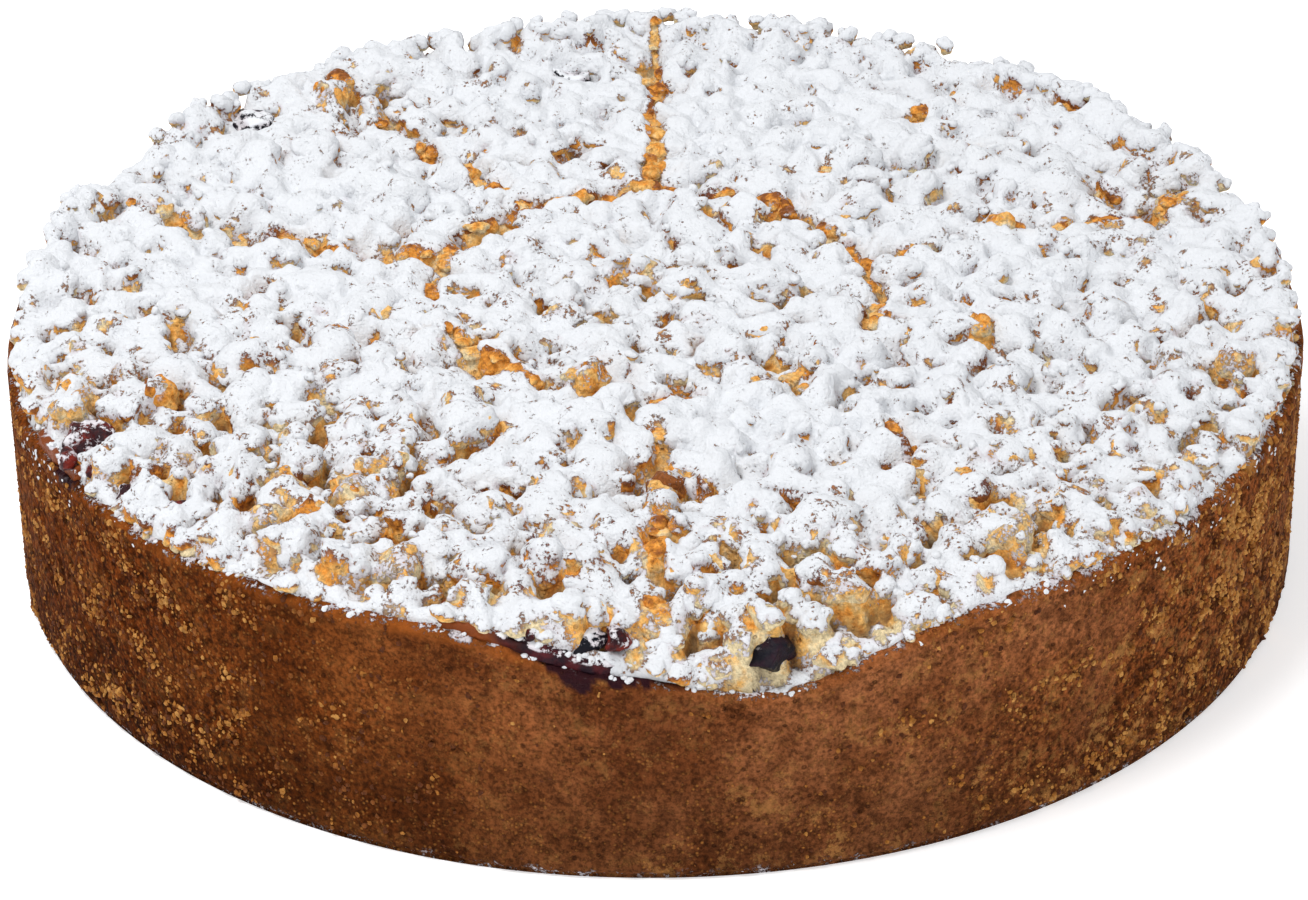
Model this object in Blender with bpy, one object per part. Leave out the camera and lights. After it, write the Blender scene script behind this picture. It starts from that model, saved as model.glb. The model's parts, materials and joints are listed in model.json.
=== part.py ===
"""Round crumble cake in metres, +Z up, origin at the middle of its underside.

A pastry case is baked almost solid, with a shallow recess in its top. A layer of dark fruit lies in the
recess and boils over the rim in two places. A heap of crumble covers both, marked into ten portions and
a centre round by shallow cuts. A few berries show where the crumble leaves them open.
"""
import math
import random

import bmesh
import bpy
from mathutils import Euler, Matrix, Vector, geometry, noise

MM = 0.001
SEED = 28
SIDES = 80
GAP = 0.35 * MM
SOLVER = "MANIFOLD"
SMOOTH_DEGREES = 40

# Pastry case
CAKE_RADIUS = 140 * MM
FOOT_RADIUS = 138.4 * MM
FOOT_BEVEL_TOP = 1.8 * MM
FOOT_BEVEL_MIDDLE = 0.6 * MM
FOOT_NARROWING = 0.4 * MM
WALL_ROWS = 5
RIM_HEIGHT = 52.8 * MM
RIM_WAVE = 1.1 * MM
RIM_ROUNDING = 1.5 * MM
CREST_RADIUS = 137.6 * MM
RECESS_TOP_RADIUS = 133.5 * MM
RECESS_RADIUS = 126 * MM
RECESS_FLOOR = 36 * MM
# Waves of the rim: how many go round, share of the height, start in radians
RIM_WAVES = ((3, 0.6, 0.7), (7, 0.4, 2.1))
# Low places in the rim: direction in degrees, half width in degrees, depth
RIM_DIPS = ((-83, 13, 9.5 * MM), (-97, 6, 3.0 * MM), (-162, 8, 2.6 * MM), (70, 18, 1.6 * MM))
# Dents in the wall: deepest, level they start from, and the length and strength of each kind
WALL_RELIEF = 0.8 * MM
WALL_DENT_LEVEL = 0.4
WALL_DENTS = ((12 * MM, 0.6), (5 * MM, 0.5))

# Fruit layer
FRUIT_TOP = 42 * MM
FRUIT_RADIUS = 125.4 * MM
FRUIT_MIDDLE_RADIUS = 122 * MM
SPILL_RADIUS = 138.4 * MM
SPILL_THICKNESS = 2.6 * MM
SPILL_BEVEL = 1.4 * MM
SPILL_BEVEL_DROP = 0.6 * MM
SPILL_SHOULDER = 0.55
# Where the fruit boils over the rim: direction and half width in degrees
SPILLS = ((-100, 13), (-153, 8))
SPILL_FADE = (0.25, 0.75)

# Crumble heap between its lumps
HEAP_TOP = 54.2 * MM
HEAP_UNDERSIDE = 41 * MM
HEAP_RADIUS = 137.2 * MM
HEAP_RAGGEDNESS = 1.8 * MM
RAGGED_LENGTH = 9 * MM
HEAP_SHOULDER = 116 * MM
HEAP_LATTICE = 10 * MM
HEAP_BUMP = 1.4 * MM
HEAP_BUMP_LENGTH = 23 * MM
HEAP_EDGE_RISE = 4.4 * MM
HEAP_EDGE_WAVE = 2.4 * MM
# High and low places of the heap's edge: direction and half width in degrees, height
HEAP_SWELLS = ((88, 16, 2.4 * MM), (25, 40, 1.2 * MM), (135, 30, 1.2 * MM), (155, 5, -4.5 * MM))
EDGE_BEVEL = 2 * MM
EDGE_BEVEL_DROP = 1.2 * MM
SPILL_SET_BACK = 1.6 * MM

# Lumps, largest first: how many, smallest and largest half width, how near the heap's edge their middle may
# come in half widths, and how far from the axis it starts
EDGE_STONES = (27, 5.6 * MM, 7.4 * MM, 0.6, 124 * MM)
STONES = (26, 6.4 * MM, 8.2 * MM, 1.0, 0)
BUMPS = ((150, 5.0 * MM, 6.4 * MM, 1.0, 0), (160, 4.0 * MM, 5.0 * MM, 1.1, 0))
LUMP_SPACING = 0.98
LUMP_CLEARANCE = 0.5
LUMP_UNEVENNESS = 0.15
PLACING_TRIES = 700

# Stones stand out of the heap
STONE_HEIGHT = 0.74
STONE_NARROWEST = 0.78
STONE_ROUGHNESS = 0.26
STONE_GRAIN = 1.7
STONE_RISE = 0.25
EDGE_STONE_RISE = 0.4

# Bumps are low lumps in the heap's own top
BUMP_HEIGHT = 0.9
BUMP_FINE_HALF_WIDTH = 5.0 * MM
BUMP_SIDES = 6
FINE_BUMP_SIDES = 5
SHOULDER_SHARE = 0.6
SHOULDER_HEIGHT = 0.68

# Portion cuts
PORTIONS = 10
FIRST_CUT_DEGREES = 18
CENTRE_ROUND_RADIUS = 48 * MM
CUT_WIDTH = 4.4 * MM
CUT_FLOOR_WIDTH = 1.2 * MM
CUT_FLOOR = 49.5 * MM
CUT_TOP = 68 * MM
CUT_END_RADIUS = 127 * MM
CUT_ROUND_SIDES = 48

# Berries: direction in degrees, distance from the axis, height of the middle, half width
BERRIES = {
    "berry_front_left": (-96, 132.0 * MM, 50.2 * MM, 5.4 * MM),
    "berry_front_right": (-81, 131.8 * MM, 47.6 * MM, 7.2 * MM),
    "berry_left": (-152, 130.6 * MM, 54.6 * MM, 6.2 * MM),
    "berry_back_left": (137, 127.0 * MM, 55.2 * MM, 6.4 * MM),
    "berry_back": (100, 113.0 * MM, 55.0 * MM, 5.6 * MM),
}
BERRY_FLATNESS = 0.86
POCKET_GROWTH = 0.5 * MM

# Materials: colour and roughness
MATERIALS = {
    "baked_crust": ((0.165, 0.060, 0.020), 0.75),
    "dark_fruit": ((0.060, 0.010, 0.012), 0.35),
    "sugared_crumble": ((0.80, 0.74, 0.66), 0.85),
    "berry_skin": ((0.018, 0.012, 0.030), 0.4),
}


def clear_scene():
    for old in list(bpy.data.objects):
        bpy.data.objects.remove(old)


def smooth_step(low, high, value):
    """0 below low, 1 above high, and a smooth rise between them."""
    share = min(1.0, max(0.0, (value - low) / (high - low)))
    return share * share * (3 - 2 * share)


def bell(centre, half_width, degrees):
    """1 in the direction of centre, falling away smoothly on both sides of it."""
    apart = (degrees - centre + 180) % 360 - 180
    return math.exp(-((apart / half_width) ** 2))


def polar(radius, degrees, height):
    angle = math.radians(degrees)
    return Vector((radius * math.cos(angle), radius * math.sin(angle), height))


def uneven(draw):
    """A factor near 1, which makes one lump differ from the next."""
    return draw.uniform(1 - LUMP_UNEVENNESS, 1 + LUMP_UNEVENNESS)


def rim_height(degrees):
    """Height of the case's rim, which waves and has a few low places."""
    angle = math.radians(degrees)
    wave = sum(share * math.sin(count * angle + start) for count, share, start in RIM_WAVES)
    dips = sum(depth * bell(centre, width, degrees) for centre, width, depth in RIM_DIPS)
    return RIM_HEIGHT + RIM_WAVE * wave - dips


def spill(degrees):
    """How far the fruit has boiled over the rim here, from 0 to 1."""
    return smooth_step(*SPILL_FADE, max(bell(centre, width, degrees) for centre, width in SPILLS))


def make_material(name):
    colour, roughness = MATERIALS[name]
    material = bpy.data.materials.new(name)
    material.use_nodes = True
    shader = material.node_tree.nodes["Principled BSDF"]
    shader.inputs["Base Color"].default_value = (*colour, 1)
    shader.inputs["Roughness"].default_value = roughness
    shader.inputs["Metallic"].default_value = 0
    return material


def new_object(name, bm, material):
    """An object of a closed shape, whose faces are turned outwards first."""
    if bm.calc_volume(signed=True) < 0:
        bmesh.ops.reverse_faces(bm, faces=bm.faces)
    mesh = bpy.data.meshes.new(name)
    bm.to_mesh(mesh)
    bm.free()
    mesh.materials.append(material)
    return bpy.data.objects.new(name, mesh)


def place(made):
    bpy.context.scene.collection.objects.link(made)
    return made


def shade(made):
    """Shades a finished piece smooth, but for its sharp edges."""
    made.data.shade_smooth()
    made.data.set_sharp_from_angle(angle=math.radians(SMOOTH_DEGREES))


def new_group(name, shapes, material):
    """A collection of helper solids that a piece is joined with or cut by."""
    group = bpy.data.collections.new(name)
    bpy.context.scene.collection.children.link(group)
    for bm in shapes:
        group.objects.link(new_object(name, bm, material))
    return group


def remove_group(group):
    for helper in list(group.objects):
        bpy.data.objects.remove(helper)
    bpy.data.collections.remove(group)


def apply_boolean(target, operation, name, shapes, material):
    """Joins all the shapes to a piece, or cuts them from it, in one step."""
    group = new_group(name, shapes, material)
    modifier = target.modifiers.new(name, "BOOLEAN")
    modifier.operation = operation
    modifier.operand_type = "COLLECTION"
    modifier.collection = group
    modifier.solver = SOLVER
    bpy.context.view_layer.objects.active = target
    bpy.context.view_layer.update()
    bpy.ops.object.modifier_apply(modifier=modifier.name)
    remove_group(group)


def turned_solid(rows):
    """A closed solid from rows of points, each row a function of direction in degrees, from the middle
    of the underside to the middle of the top."""
    bm = bmesh.new()
    loops = [[bm.verts.new(row(360 * k / SIDES)) for k in range(SIDES)] for row in rows]
    for lower, upper in zip(loops, loops[1:]):
        for k in range(SIDES):
            after = (k + 1) % SIDES
            bm.faces.new((lower[k], lower[after], upper[after]))
            bm.faces.new((lower[k], upper[after], upper[k]))
    bm.faces.new(loops[0][::-1])
    bm.faces.new(loops[-1])
    return bm


def wall_point(degrees, share):
    """A point on the case's outer wall, at this share of its height, dented where the crumb is open."""
    wall_top = rim_height(degrees) - RIM_ROUNDING
    height = FOOT_BEVEL_TOP + (wall_top - FOOT_BEVEL_TOP) * share
    spot = polar(CAKE_RADIUS, degrees, height)
    dent = WALL_DENT_LEVEL + sum(strength * noise.noise(spot / length) for length, strength in WALL_DENTS)
    narrowing = FOOT_NARROWING * (1 - share) ** 2 + WALL_RELIEF * min(1.0, max(0.0, dent))
    return polar(CAKE_RADIUS - narrowing, degrees, height)


def case_solid(growth=0.0):
    """The pastry case, or the same shape raised by growth, which cuts what is poured on it."""

    def ring(radius, height_of):
        return lambda degrees: polar(radius, degrees, height_of(degrees) + growth)

    foot_middle = (FOOT_RADIUS + CAKE_RADIUS - FOOT_NARROWING) / 2
    rows = [ring(FOOT_RADIUS, lambda _: 0.0), ring(foot_middle, lambda _: FOOT_BEVEL_MIDDLE)]
    for row in range(WALL_ROWS + 1):
        share = row / WALL_ROWS
        rows.append(lambda degrees, s=share: wall_point(degrees, s) + Vector((0, 0, growth)))
    rows.append(ring(CREST_RADIUS, rim_height))
    rows.append(ring(RECESS_TOP_RADIUS, lambda degrees: rim_height(degrees) - RIM_ROUNDING / 2))
    rows.append(ring(RECESS_RADIUS, lambda _: RECESS_FLOOR))
    return turned_solid(rows)


def fruit_solid(growth=0.0):
    """The fruit with all that lies below it, or the same shape larger by growth."""

    def outer(degrees):
        return FRUIT_RADIUS + (SPILL_RADIUS - FRUIT_RADIUS) * spill(degrees) + growth

    def edge_top(degrees):
        over_rim = rim_height(degrees) + GAP + SPILL_THICKNESS
        return FRUIT_TOP + (over_rim - FRUIT_TOP) * spill(degrees) + growth

    def shoulder(degrees):
        return FRUIT_MIDDLE_RADIUS + (outer(degrees) - FRUIT_MIDDLE_RADIUS) * SPILL_SHOULDER

    def bevel_drop(degrees):
        return SPILL_BEVEL_DROP * spill(degrees)

    rows = [
        lambda degrees: polar(outer(degrees), degrees, RECESS_FLOOR + GAP),
        lambda degrees: polar(outer(degrees), degrees, edge_top(degrees) - bevel_drop(degrees)),
        lambda degrees: polar(outer(degrees) - SPILL_BEVEL, degrees, edge_top(degrees)),
        lambda degrees: polar(shoulder(degrees), degrees, edge_top(degrees)),
        lambda degrees: polar(FRUIT_MIDDLE_RADIUS, degrees, FRUIT_TOP + growth),
    ]
    return turned_solid(rows)


def heap_radius(degrees):
    ragged = noise.noise(polar(CAKE_RADIUS, degrees, 0) / RAGGED_LENGTH)
    return HEAP_RADIUS + HEAP_RAGGEDNESS * ragged - SPILL_SET_BACK * spill(degrees)


def heap_edge_top(degrees):
    wave = noise.noise(polar(CAKE_RADIUS, degrees, CAKE_RADIUS) / RAGGED_LENGTH)
    swell = sum(height * bell(centre, width, degrees) for centre, width, height in HEAP_SWELLS)
    over_rim = HEAP_EDGE_RISE + SPILL_THICKNESS * spill(degrees) + HEAP_EDGE_WAVE * wave + swell
    return rim_height(degrees) + over_rim


def heap_top(x, y):
    """Height of the heap between its lumps: gently uneven inside, following the rim at the edge."""
    radius, degrees = math.hypot(x, y), math.degrees(math.atan2(y, x))
    share = min(1.0, max(0.0, (radius - HEAP_SHOULDER) / (HEAP_RADIUS - HEAP_SHOULDER)))
    bump = HEAP_BUMP * noise.noise(Vector((x, y, 0)) / HEAP_BUMP_LENGTH) * (1 - share)
    return HEAP_TOP + bump + (heap_edge_top(degrees) - HEAP_TOP) * share


def distance_to_cuts(x, y):
    """How far a spot is from the nearest portion cut, seen from above."""
    radius = math.hypot(x, y)
    nearest = abs(radius - CENTRE_ROUND_RADIUS)
    if CENTRE_ROUND_RADIUS < radius < CUT_END_RADIUS:
        step = 360 / PORTIONS
        apart = (math.degrees(math.atan2(y, x)) - FIRST_CUT_DEGREES + step / 2) % step - step / 2
        nearest = min(nearest, abs(radius * math.sin(math.radians(apart))))
    return nearest


def lump_spots(kind, taken, draw):
    """(x, y, half width) of each lump of a kind, clear of the cuts, the berries and the spots taken."""
    count, least, most, edge_room, inner = kind
    berries = [(polar(radius, degrees, 0), half) for degrees, radius, _, half in BERRIES.values()]
    spots = []
    for _ in range(count):
        half = draw.uniform(least, most)
        room = LUMP_CLEARANCE * half
        for _ in range(PLACING_TRIES):
            angle = draw.uniform(0, 2 * math.pi)
            widest = heap_radius(math.degrees(angle)) - edge_room * half
            radius = math.sqrt(draw.uniform(inner**2, widest**2))
            x, y = radius * math.cos(angle), radius * math.sin(angle)
            if distance_to_cuts(x, y) < CUT_WIDTH / 2 + room:
                continue
            others = taken + spots
            if any(math.hypot(x - a, y - b) < LUMP_SPACING * (half + c) for a, b, c in others):
                continue
            if any(math.hypot(x - at.x, y - at.y) < own + room for at, own in berries):
                continue
            spots.append((x, y, half))
            break
    return spots


def lattice_points(radius, spacing):
    """Points of a triangular lattice inside a round of this radius, seen from above."""
    reach = math.ceil(radius / spacing)
    points = []
    for row in range(-reach, reach + 1):
        for column in range(-reach, reach + 1):
            spot = Vector((column + (row % 2) / 2, row * math.sqrt(0.75))) * spacing
            if spot.length < radius:
                points.append(spot)
    return points


def bump_points(x, y, half, draw):
    """Points of a low lump on the heap's own top: its peak and a ring round its shoulder."""
    height = half * BUMP_HEIGHT * uneven(draw)
    points = [Vector((x, y, heap_top(x, y) + height))]
    sides = BUMP_SIDES if half > BUMP_FINE_HALF_WIDTH else FINE_BUMP_SIDES
    start = draw.uniform(0, 360)
    for k in range(sides):
        side = polar(half * SHOULDER_SHARE * uneven(draw), start + 360 * k / sides, 0)
        foot = heap_top(x + side.x, y + side.y)
        points.append(Vector((x + side.x, y + side.y, foot + height * SHOULDER_HEIGHT * uneven(draw))))
    return points


def heap_solid(bumps, stones, draw):
    """The heap with its low lumps, and with all that lies below it."""
    rows = [
        lambda degrees: polar(heap_radius(degrees), degrees, HEAP_UNDERSIDE),
        lambda degrees: polar(heap_radius(degrees), degrees, heap_edge_top(degrees) - EDGE_BEVEL_DROP),
        lambda degrees: polar(heap_radius(degrees) - EDGE_BEVEL, degrees, heap_edge_top(degrees)),
    ]
    bm = turned_solid(rows)
    bm.faces.ensure_lookup_table()
    level = bm.faces[-1]
    corners = list(level.verts)
    bm.faces.remove(level)
    for x, y, half in bumps:
        corners += [bm.verts.new(point) for point in bump_points(x, y, half, draw)]
    for spot in lattice_points(HEAP_RADIUS - EDGE_BEVEL - HEAP_LATTICE, HEAP_LATTICE):
        if any(math.hypot(spot.x - x, spot.y - y) < half for x, y, half in bumps + stones):
            continue
        corners.append(bm.verts.new((spot.x, spot.y, heap_top(spot.x, spot.y))))
    flat = [corner.co.xy for corner in corners]
    found = geometry.delaunay_2d_cdt(flat, [], [list(range(SIDES))], 1, MM / 1000)
    faces, came_from = found[2], found[3]
    for face in faces:
        bm.faces.new([corners[came_from[i][0]] for i in face])
    return bm


def stone_solid(x, y, half, draw):
    """One large lump: a stone with few sides that sinks into the heap."""
    half_height = half * STONE_HEIGHT * uneven(draw)
    at_edge = smooth_step(HEAP_SHOULDER, HEAP_RADIUS, math.hypot(x, y))
    rise = STONE_RISE + (EDGE_STONE_RISE - STONE_RISE) * at_edge
    bm = bmesh.new()
    bmesh.ops.create_icosphere(bm, subdivisions=1, radius=1)
    elsewhere = Vector((draw.uniform(-50, 50), draw.uniform(-50, 50), draw.uniform(-50, 50)))
    for vertex in bm.verts:
        vertex.co *= 1 + STONE_ROUGHNESS * noise.noise(vertex.co * STONE_GRAIN + elsewhere)
    tumble = Euler([draw.uniform(0, 2 * math.pi) for _ in range(3)]).to_matrix().to_4x4()
    stretch = Matrix.Diagonal((half, half * draw.uniform(STONE_NARROWEST, 1), half_height, 1))
    turn = Matrix.Rotation(draw.uniform(0, 2 * math.pi), 4, "Z")
    middle = Vector((x, y, heap_top(x, y) + rise * half_height))
    bm.transform(Matrix.Translation(middle) @ turn @ stretch @ tumble)
    return bm


def cut_section():
    """(sideways, height) corners of a cut: a V with a narrow floor, as wide as stated at the heap's top."""
    slope = (CUT_WIDTH - CUT_FLOOR_WIDTH) / (HEAP_TOP - CUT_FLOOR)
    low = CUT_FLOOR_WIDTH / 2
    high = low + slope * (CUT_TOP - CUT_FLOOR) / 2
    return ((-low, CUT_FLOOR), (low, CUT_FLOOR), (high, CUT_TOP), (-high, CUT_TOP))


def bridge(bm, first, second):
    """Faces between two sections of four corners each."""
    for i in range(4):
        j = (i + 1) % 4
        bm.faces.new((first[i], second[i], second[j], first[j]))


def straight_cut(number):
    """The blade of one straight cut, from the centre round to the edge."""
    degrees = FIRST_CUT_DEGREES + 360 * number / PORTIONS
    turn = Matrix.Rotation(math.radians(degrees), 4, "Z")
    bm = bmesh.new()
    ends = []
    for radius in (CENTRE_ROUND_RADIUS, CUT_END_RADIUS):
        ends.append([bm.verts.new(turn @ Vector((radius, y, z))) for y, z in cut_section()])
    bm.faces.new(ends[0])
    bm.faces.new(ends[1][::-1])
    bridge(bm, ends[0], ends[1])
    return bm


def round_cut():
    """The ring-shaped blade of the centre round."""
    bm = bmesh.new()
    loops = []
    for k in range(CUT_ROUND_SIDES):
        degrees = 360 * k / CUT_ROUND_SIDES
        section = [polar(CENTRE_ROUND_RADIUS + y, degrees, z) for y, z in cut_section()]
        loops.append([bm.verts.new(corner) for corner in section])
    for k in range(CUT_ROUND_SIDES):
        bridge(bm, loops[k], loops[(k + 1) % CUT_ROUND_SIDES])
    return bm


def berry_solid(berry, growth=0.0):
    """A slightly flattened ball at a berry's place, larger by growth."""
    degrees, radius, height, half = berry
    bm = bmesh.new()
    bmesh.ops.create_icosphere(bm, subdivisions=2, radius=1)
    wide = half + growth
    stretch = Matrix.Diagonal((wide, wide, half * BERRY_FLATNESS + growth, 1))
    bm.transform(Matrix.Translation(polar(radius, degrees, height)) @ stretch)
    return bm


def cut_pockets(target, material):
    """Takes away from a layer what the berries lying in it need."""
    shapes = [berry_solid(berry, POCKET_GROWTH) for berry in BERRIES.values()]
    apply_boolean(target, "DIFFERENCE", "pocket", shapes, material)


def keep_outer_shell(target):
    """Fills hollows that joining has sealed and drops loose scraps: only the widest shell stays."""
    bm = bmesh.new()
    bm.from_mesh(target.data)
    shells, seen = [], set()
    for start in bm.verts:
        if start in seen:
            continue
        shell, reached = [], [start]
        seen.add(start)
        while reached:
            vertex = reached.pop()
            shell.append(vertex)
            for edge in vertex.link_edges:
                other = edge.other_vert(vertex)
                if other not in seen:
                    seen.add(other)
                    reached.append(other)
        shells.append(shell)
    shells.sort(key=lambda shell: max(v.co.x for v in shell) - min(v.co.x for v in shell))
    loose = [vertex for shell in shells[:-1] for vertex in shell]
    bmesh.ops.delete(bm, geom=loose, context="VERTS")
    bm.to_mesh(target.data)
    bm.free()


def make_crust(material):
    crust = place(new_object("crust", case_solid(), material))
    cut_pockets(crust, material)
    shade(crust)


def make_fruit_layer(material):
    fruit = place(new_object("fruit_layer", fruit_solid(), material))
    apply_boolean(fruit, "DIFFERENCE", "case", [case_solid(GAP)], material)
    cut_pockets(fruit, material)
    keep_outer_shell(fruit)
    shade(fruit)


def make_crumble_topping(material):
    draw = random.Random(SEED)
    stones = lump_spots(EDGE_STONES, [], draw)
    stones += lump_spots(STONES, stones, draw)
    bumps = []
    for kind in BUMPS:
        bumps += lump_spots(kind, stones + bumps, draw)
    heap = place(new_object("crumble_topping", heap_solid(bumps, stones, draw), material))
    apply_boolean(heap, "UNION", "stone", [stone_solid(*spot, draw) for spot in stones], material)
    blades = [straight_cut(number) for number in range(PORTIONS)] + [round_cut()]
    apply_boolean(heap, "DIFFERENCE", "cut", blades, material)
    apply_boolean(heap, "DIFFERENCE", "layer", [case_solid(GAP), fruit_solid(GAP)], material)
    cut_pockets(heap, material)
    keep_outer_shell(heap)
    shade(heap)


def make_berries(material):
    for name, berry in BERRIES.items():
        shade(place(new_object(name, berry_solid(berry), material)))


clear_scene()
make_crust(make_material("baked_crust"))
make_fruit_layer(make_material("dark_fruit"))
make_crumble_topping(make_material("sugared_crumble"))
make_berries(make_material("berry_skin"))
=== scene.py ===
import json
import math
import random

import bpy
import numpy as np
from mathutils import Euler, Matrix, Vector, noise

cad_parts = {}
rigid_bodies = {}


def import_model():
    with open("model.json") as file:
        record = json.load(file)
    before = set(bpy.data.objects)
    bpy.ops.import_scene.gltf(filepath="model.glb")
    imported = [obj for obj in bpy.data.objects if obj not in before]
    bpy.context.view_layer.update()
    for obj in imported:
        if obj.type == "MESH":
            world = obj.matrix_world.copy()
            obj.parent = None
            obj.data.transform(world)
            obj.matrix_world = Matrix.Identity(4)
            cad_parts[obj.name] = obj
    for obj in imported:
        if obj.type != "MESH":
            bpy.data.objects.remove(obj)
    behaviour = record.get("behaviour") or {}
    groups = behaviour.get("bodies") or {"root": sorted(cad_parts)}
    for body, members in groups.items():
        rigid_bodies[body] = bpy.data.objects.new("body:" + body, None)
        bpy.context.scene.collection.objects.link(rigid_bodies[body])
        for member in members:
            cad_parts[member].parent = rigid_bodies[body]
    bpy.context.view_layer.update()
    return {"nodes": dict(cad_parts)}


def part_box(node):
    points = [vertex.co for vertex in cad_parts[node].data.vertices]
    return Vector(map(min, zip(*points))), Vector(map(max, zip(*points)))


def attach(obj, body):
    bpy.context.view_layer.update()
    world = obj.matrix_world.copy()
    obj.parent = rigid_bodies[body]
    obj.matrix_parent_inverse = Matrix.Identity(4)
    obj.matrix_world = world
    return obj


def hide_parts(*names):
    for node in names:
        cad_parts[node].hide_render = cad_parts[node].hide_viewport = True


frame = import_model()
mm = 0.001
madeShare = 1.0  # share of the lumps and crumbs that are made
draw = random.Random(7)

# The baked form, with the values of the solid cake that it dresses. Directions and half widths are in
# degrees, from +X round to +Y
cake = {
    "radius": 139.45 * mm,
    "widest": 139.4 * mm,  # how far out crumbs may reach along X and Y
    "footRadius": 138.3 * mm,
    "footHeight": 1.2 * mm,
    "rim": 52.8 * mm,
    "rimWave": 1.1 * mm,
    "rimWaves": ((3, 0.6, 0.7), (7, 0.4, 2.1)),  # how many go round, share of the height, start in radians
    # Low places of the rim: direction, half width, depth
    "rimDips": ((-80, 8, 2.2 * mm), (-83, 13, 9.5 * mm), (-97, 6, 3.0 * mm), (-162, 8, 2.6 * mm),
                (70, 18, 1.6 * mm)),
    "spills": ((-100, 13), (-153, 8)),  # where fruit has boiled over the rim: direction, half width
    "brokenFront": (-80, 17),  # where the heap's edge has broken away
    "dryWall": (-24, 26),  # where the wall is rough
    "centreRound": 48 * mm,
    "firstCut": 18,  # direction
    "cuts": 10,
    "cutEnd": 131 * mm,
}
roundMark = 999  # stands for the centre round among the directions of the cuts
sugarAlone = 2.0  # stands for a clump of nothing but sugar among the shares of sugar


# Small tools

def deselectAll():
    if bpy.context.object and bpy.context.object.mode != "OBJECT":
        bpy.ops.object.mode_set(mode="OBJECT")
    bpy.ops.object.select_all(action="DESELECT")


def choose(*pieces):
    deselectAll()
    for piece in pieces:
        piece.select_set(True)
    bpy.context.view_layer.objects.active = pieces[0]


def applyModifiers(piece):
    choose(piece)
    for name in [m.name for m in piece.modifiers]:
        bpy.ops.object.modifier_apply(modifier=name)


def smoothStep(low, high, value):
    share = np.clip((value - low) / (high - low), 0, 1)
    return share * share * (3 - 2 * share)


def roughness(points, size, shift=0.0):  # smooth noise from about -1 to 1, of this size
    offset = Vector((shift, 1.7 * shift, -0.6 * shift))
    return np.array([noise.noise(Vector(p) / size + offset) for p in points])


def directionOf(x, y):
    return np.degrees(np.arctan2(y, x))


def onCircle(radius, angle):
    return radius * math.cos(angle), radius * math.sin(angle)


def flatPoints(x, y):
    return np.stack([np.ravel(x), np.ravel(y), 0 * np.ravel(x)], 1)


def anyDirection(source):
    return Vector([source.gauss(0, 1) for _ in range(3)]).normalized()


def readPoints(piece):
    points = np.empty(3 * len(piece.data.vertices))
    piece.data.vertices.foreach_get("co", points)
    return points.reshape(-1, 3)


def writePoints(piece, points):
    piece.data.vertices.foreach_set("co", np.asarray(points, np.float64).ravel())
    piece.data.update()


def readTriangles(piece):
    piece.data.calc_loop_triangles()
    corners = np.empty(3 * len(piece.data.loop_triangles), np.int32)
    piece.data.loop_triangles.foreach_get("vertices", corners)
    return corners.reshape(-1, 3)


def addValues(piece, **values):  # one number a point, which a material reads by its name
    for name, value in values.items():
        made = piece.data.attributes.new(name, "FLOAT", "POINT")
        made.data.foreach_set("value", np.ascontiguousarray(value, np.float32))


def pieceFromArrays(name, points, triangles):
    mesh = bpy.data.meshes.new(name)
    mesh.vertices.add(len(points))
    mesh.vertices.foreach_set("co", np.ascontiguousarray(points, np.float32).ravel())
    mesh.loops.add(3 * len(triangles))
    mesh.loops.foreach_set("vertex_index", np.ascontiguousarray(triangles, np.int32).ravel())
    mesh.polygons.add(len(triangles))
    mesh.polygons.foreach_set("loop_start", np.arange(0, 3 * len(triangles), 3, dtype=np.int32))
    mesh.update(calc_edges=True)
    piece = bpy.data.objects.new(name, mesh)
    bpy.context.scene.collection.objects.link(piece)
    return piece


def dress(piece, material, slot, *nodes):
    piece.data.materials.clear()
    piece.data.materials.append(material)
    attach(piece, "root")
    if nodes:
        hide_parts(*nodes)
    return piece


# The cake's form as functions of a place

def bell(centre, halfWidth, degrees):
    return np.exp(-((((degrees - centre + 180) % 360 - 180) / halfWidth) ** 2))


def bells(places, degrees):  # places hold a direction, a half width and a height
    return sum(height * bell(centre, halfWidth, degrees) for centre, halfWidth, height in places)


def rimHeight(x, y):
    angle = np.arctan2(y, x)
    wave = sum(share * np.sin(count * angle + start) for count, share, start in cake["rimWaves"])
    return cake["rim"] + cake["rimWave"] * wave - bells(cake["rimDips"], np.degrees(angle))


def offAxes(x, y):  # 1 where a little more width doesn't widen the cake's box
    larger = np.maximum(np.abs(x), np.abs(y))
    return smoothStep(0.995, 0.96, larger / np.maximum(np.hypot(x, y), mm))


def spill(x, y):
    most = np.maximum.reduce([bell(centre, width, directionOf(x, y)) for centre, width in cake["spills"]])
    return smoothStep(0.25, 0.75, most)


def cutDistance(x, y):  # how far from the nearest cut, and that cut's direction or roundMark
    radius, degrees = np.hypot(x, y), directionOf(x, y)
    turn = 360 / cake["cuts"]
    number = np.round((degrees - cake["firstCut"]) / turn)
    apart = np.radians(degrees - cake["firstCut"] - number * turn)
    straight = np.where((radius > cake["centreRound"]) & (radius < cake["cutEnd"]),
                        np.abs(radius * np.sin(apart)), 1.0)
    ring = np.abs(radius - cake["centreRound"])
    direction = (cake["firstCut"] + number * turn + 180) % 360 - 180
    return np.minimum(straight, ring), np.where(ring < straight, roundMark, direction)


# Materials

def addNode(tree, kind, inputs=None, **settings):
    node = tree.nodes.new("ShaderNode" + kind)
    for key, value in settings.items():
        setattr(node, key, value)
    for name, value in (inputs or {}).items():
        if isinstance(value, bpy.types.NodeSocket):
            tree.links.new(value, node.inputs[name])
        else:
            node.inputs[name].default_value = value
    return node


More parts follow.
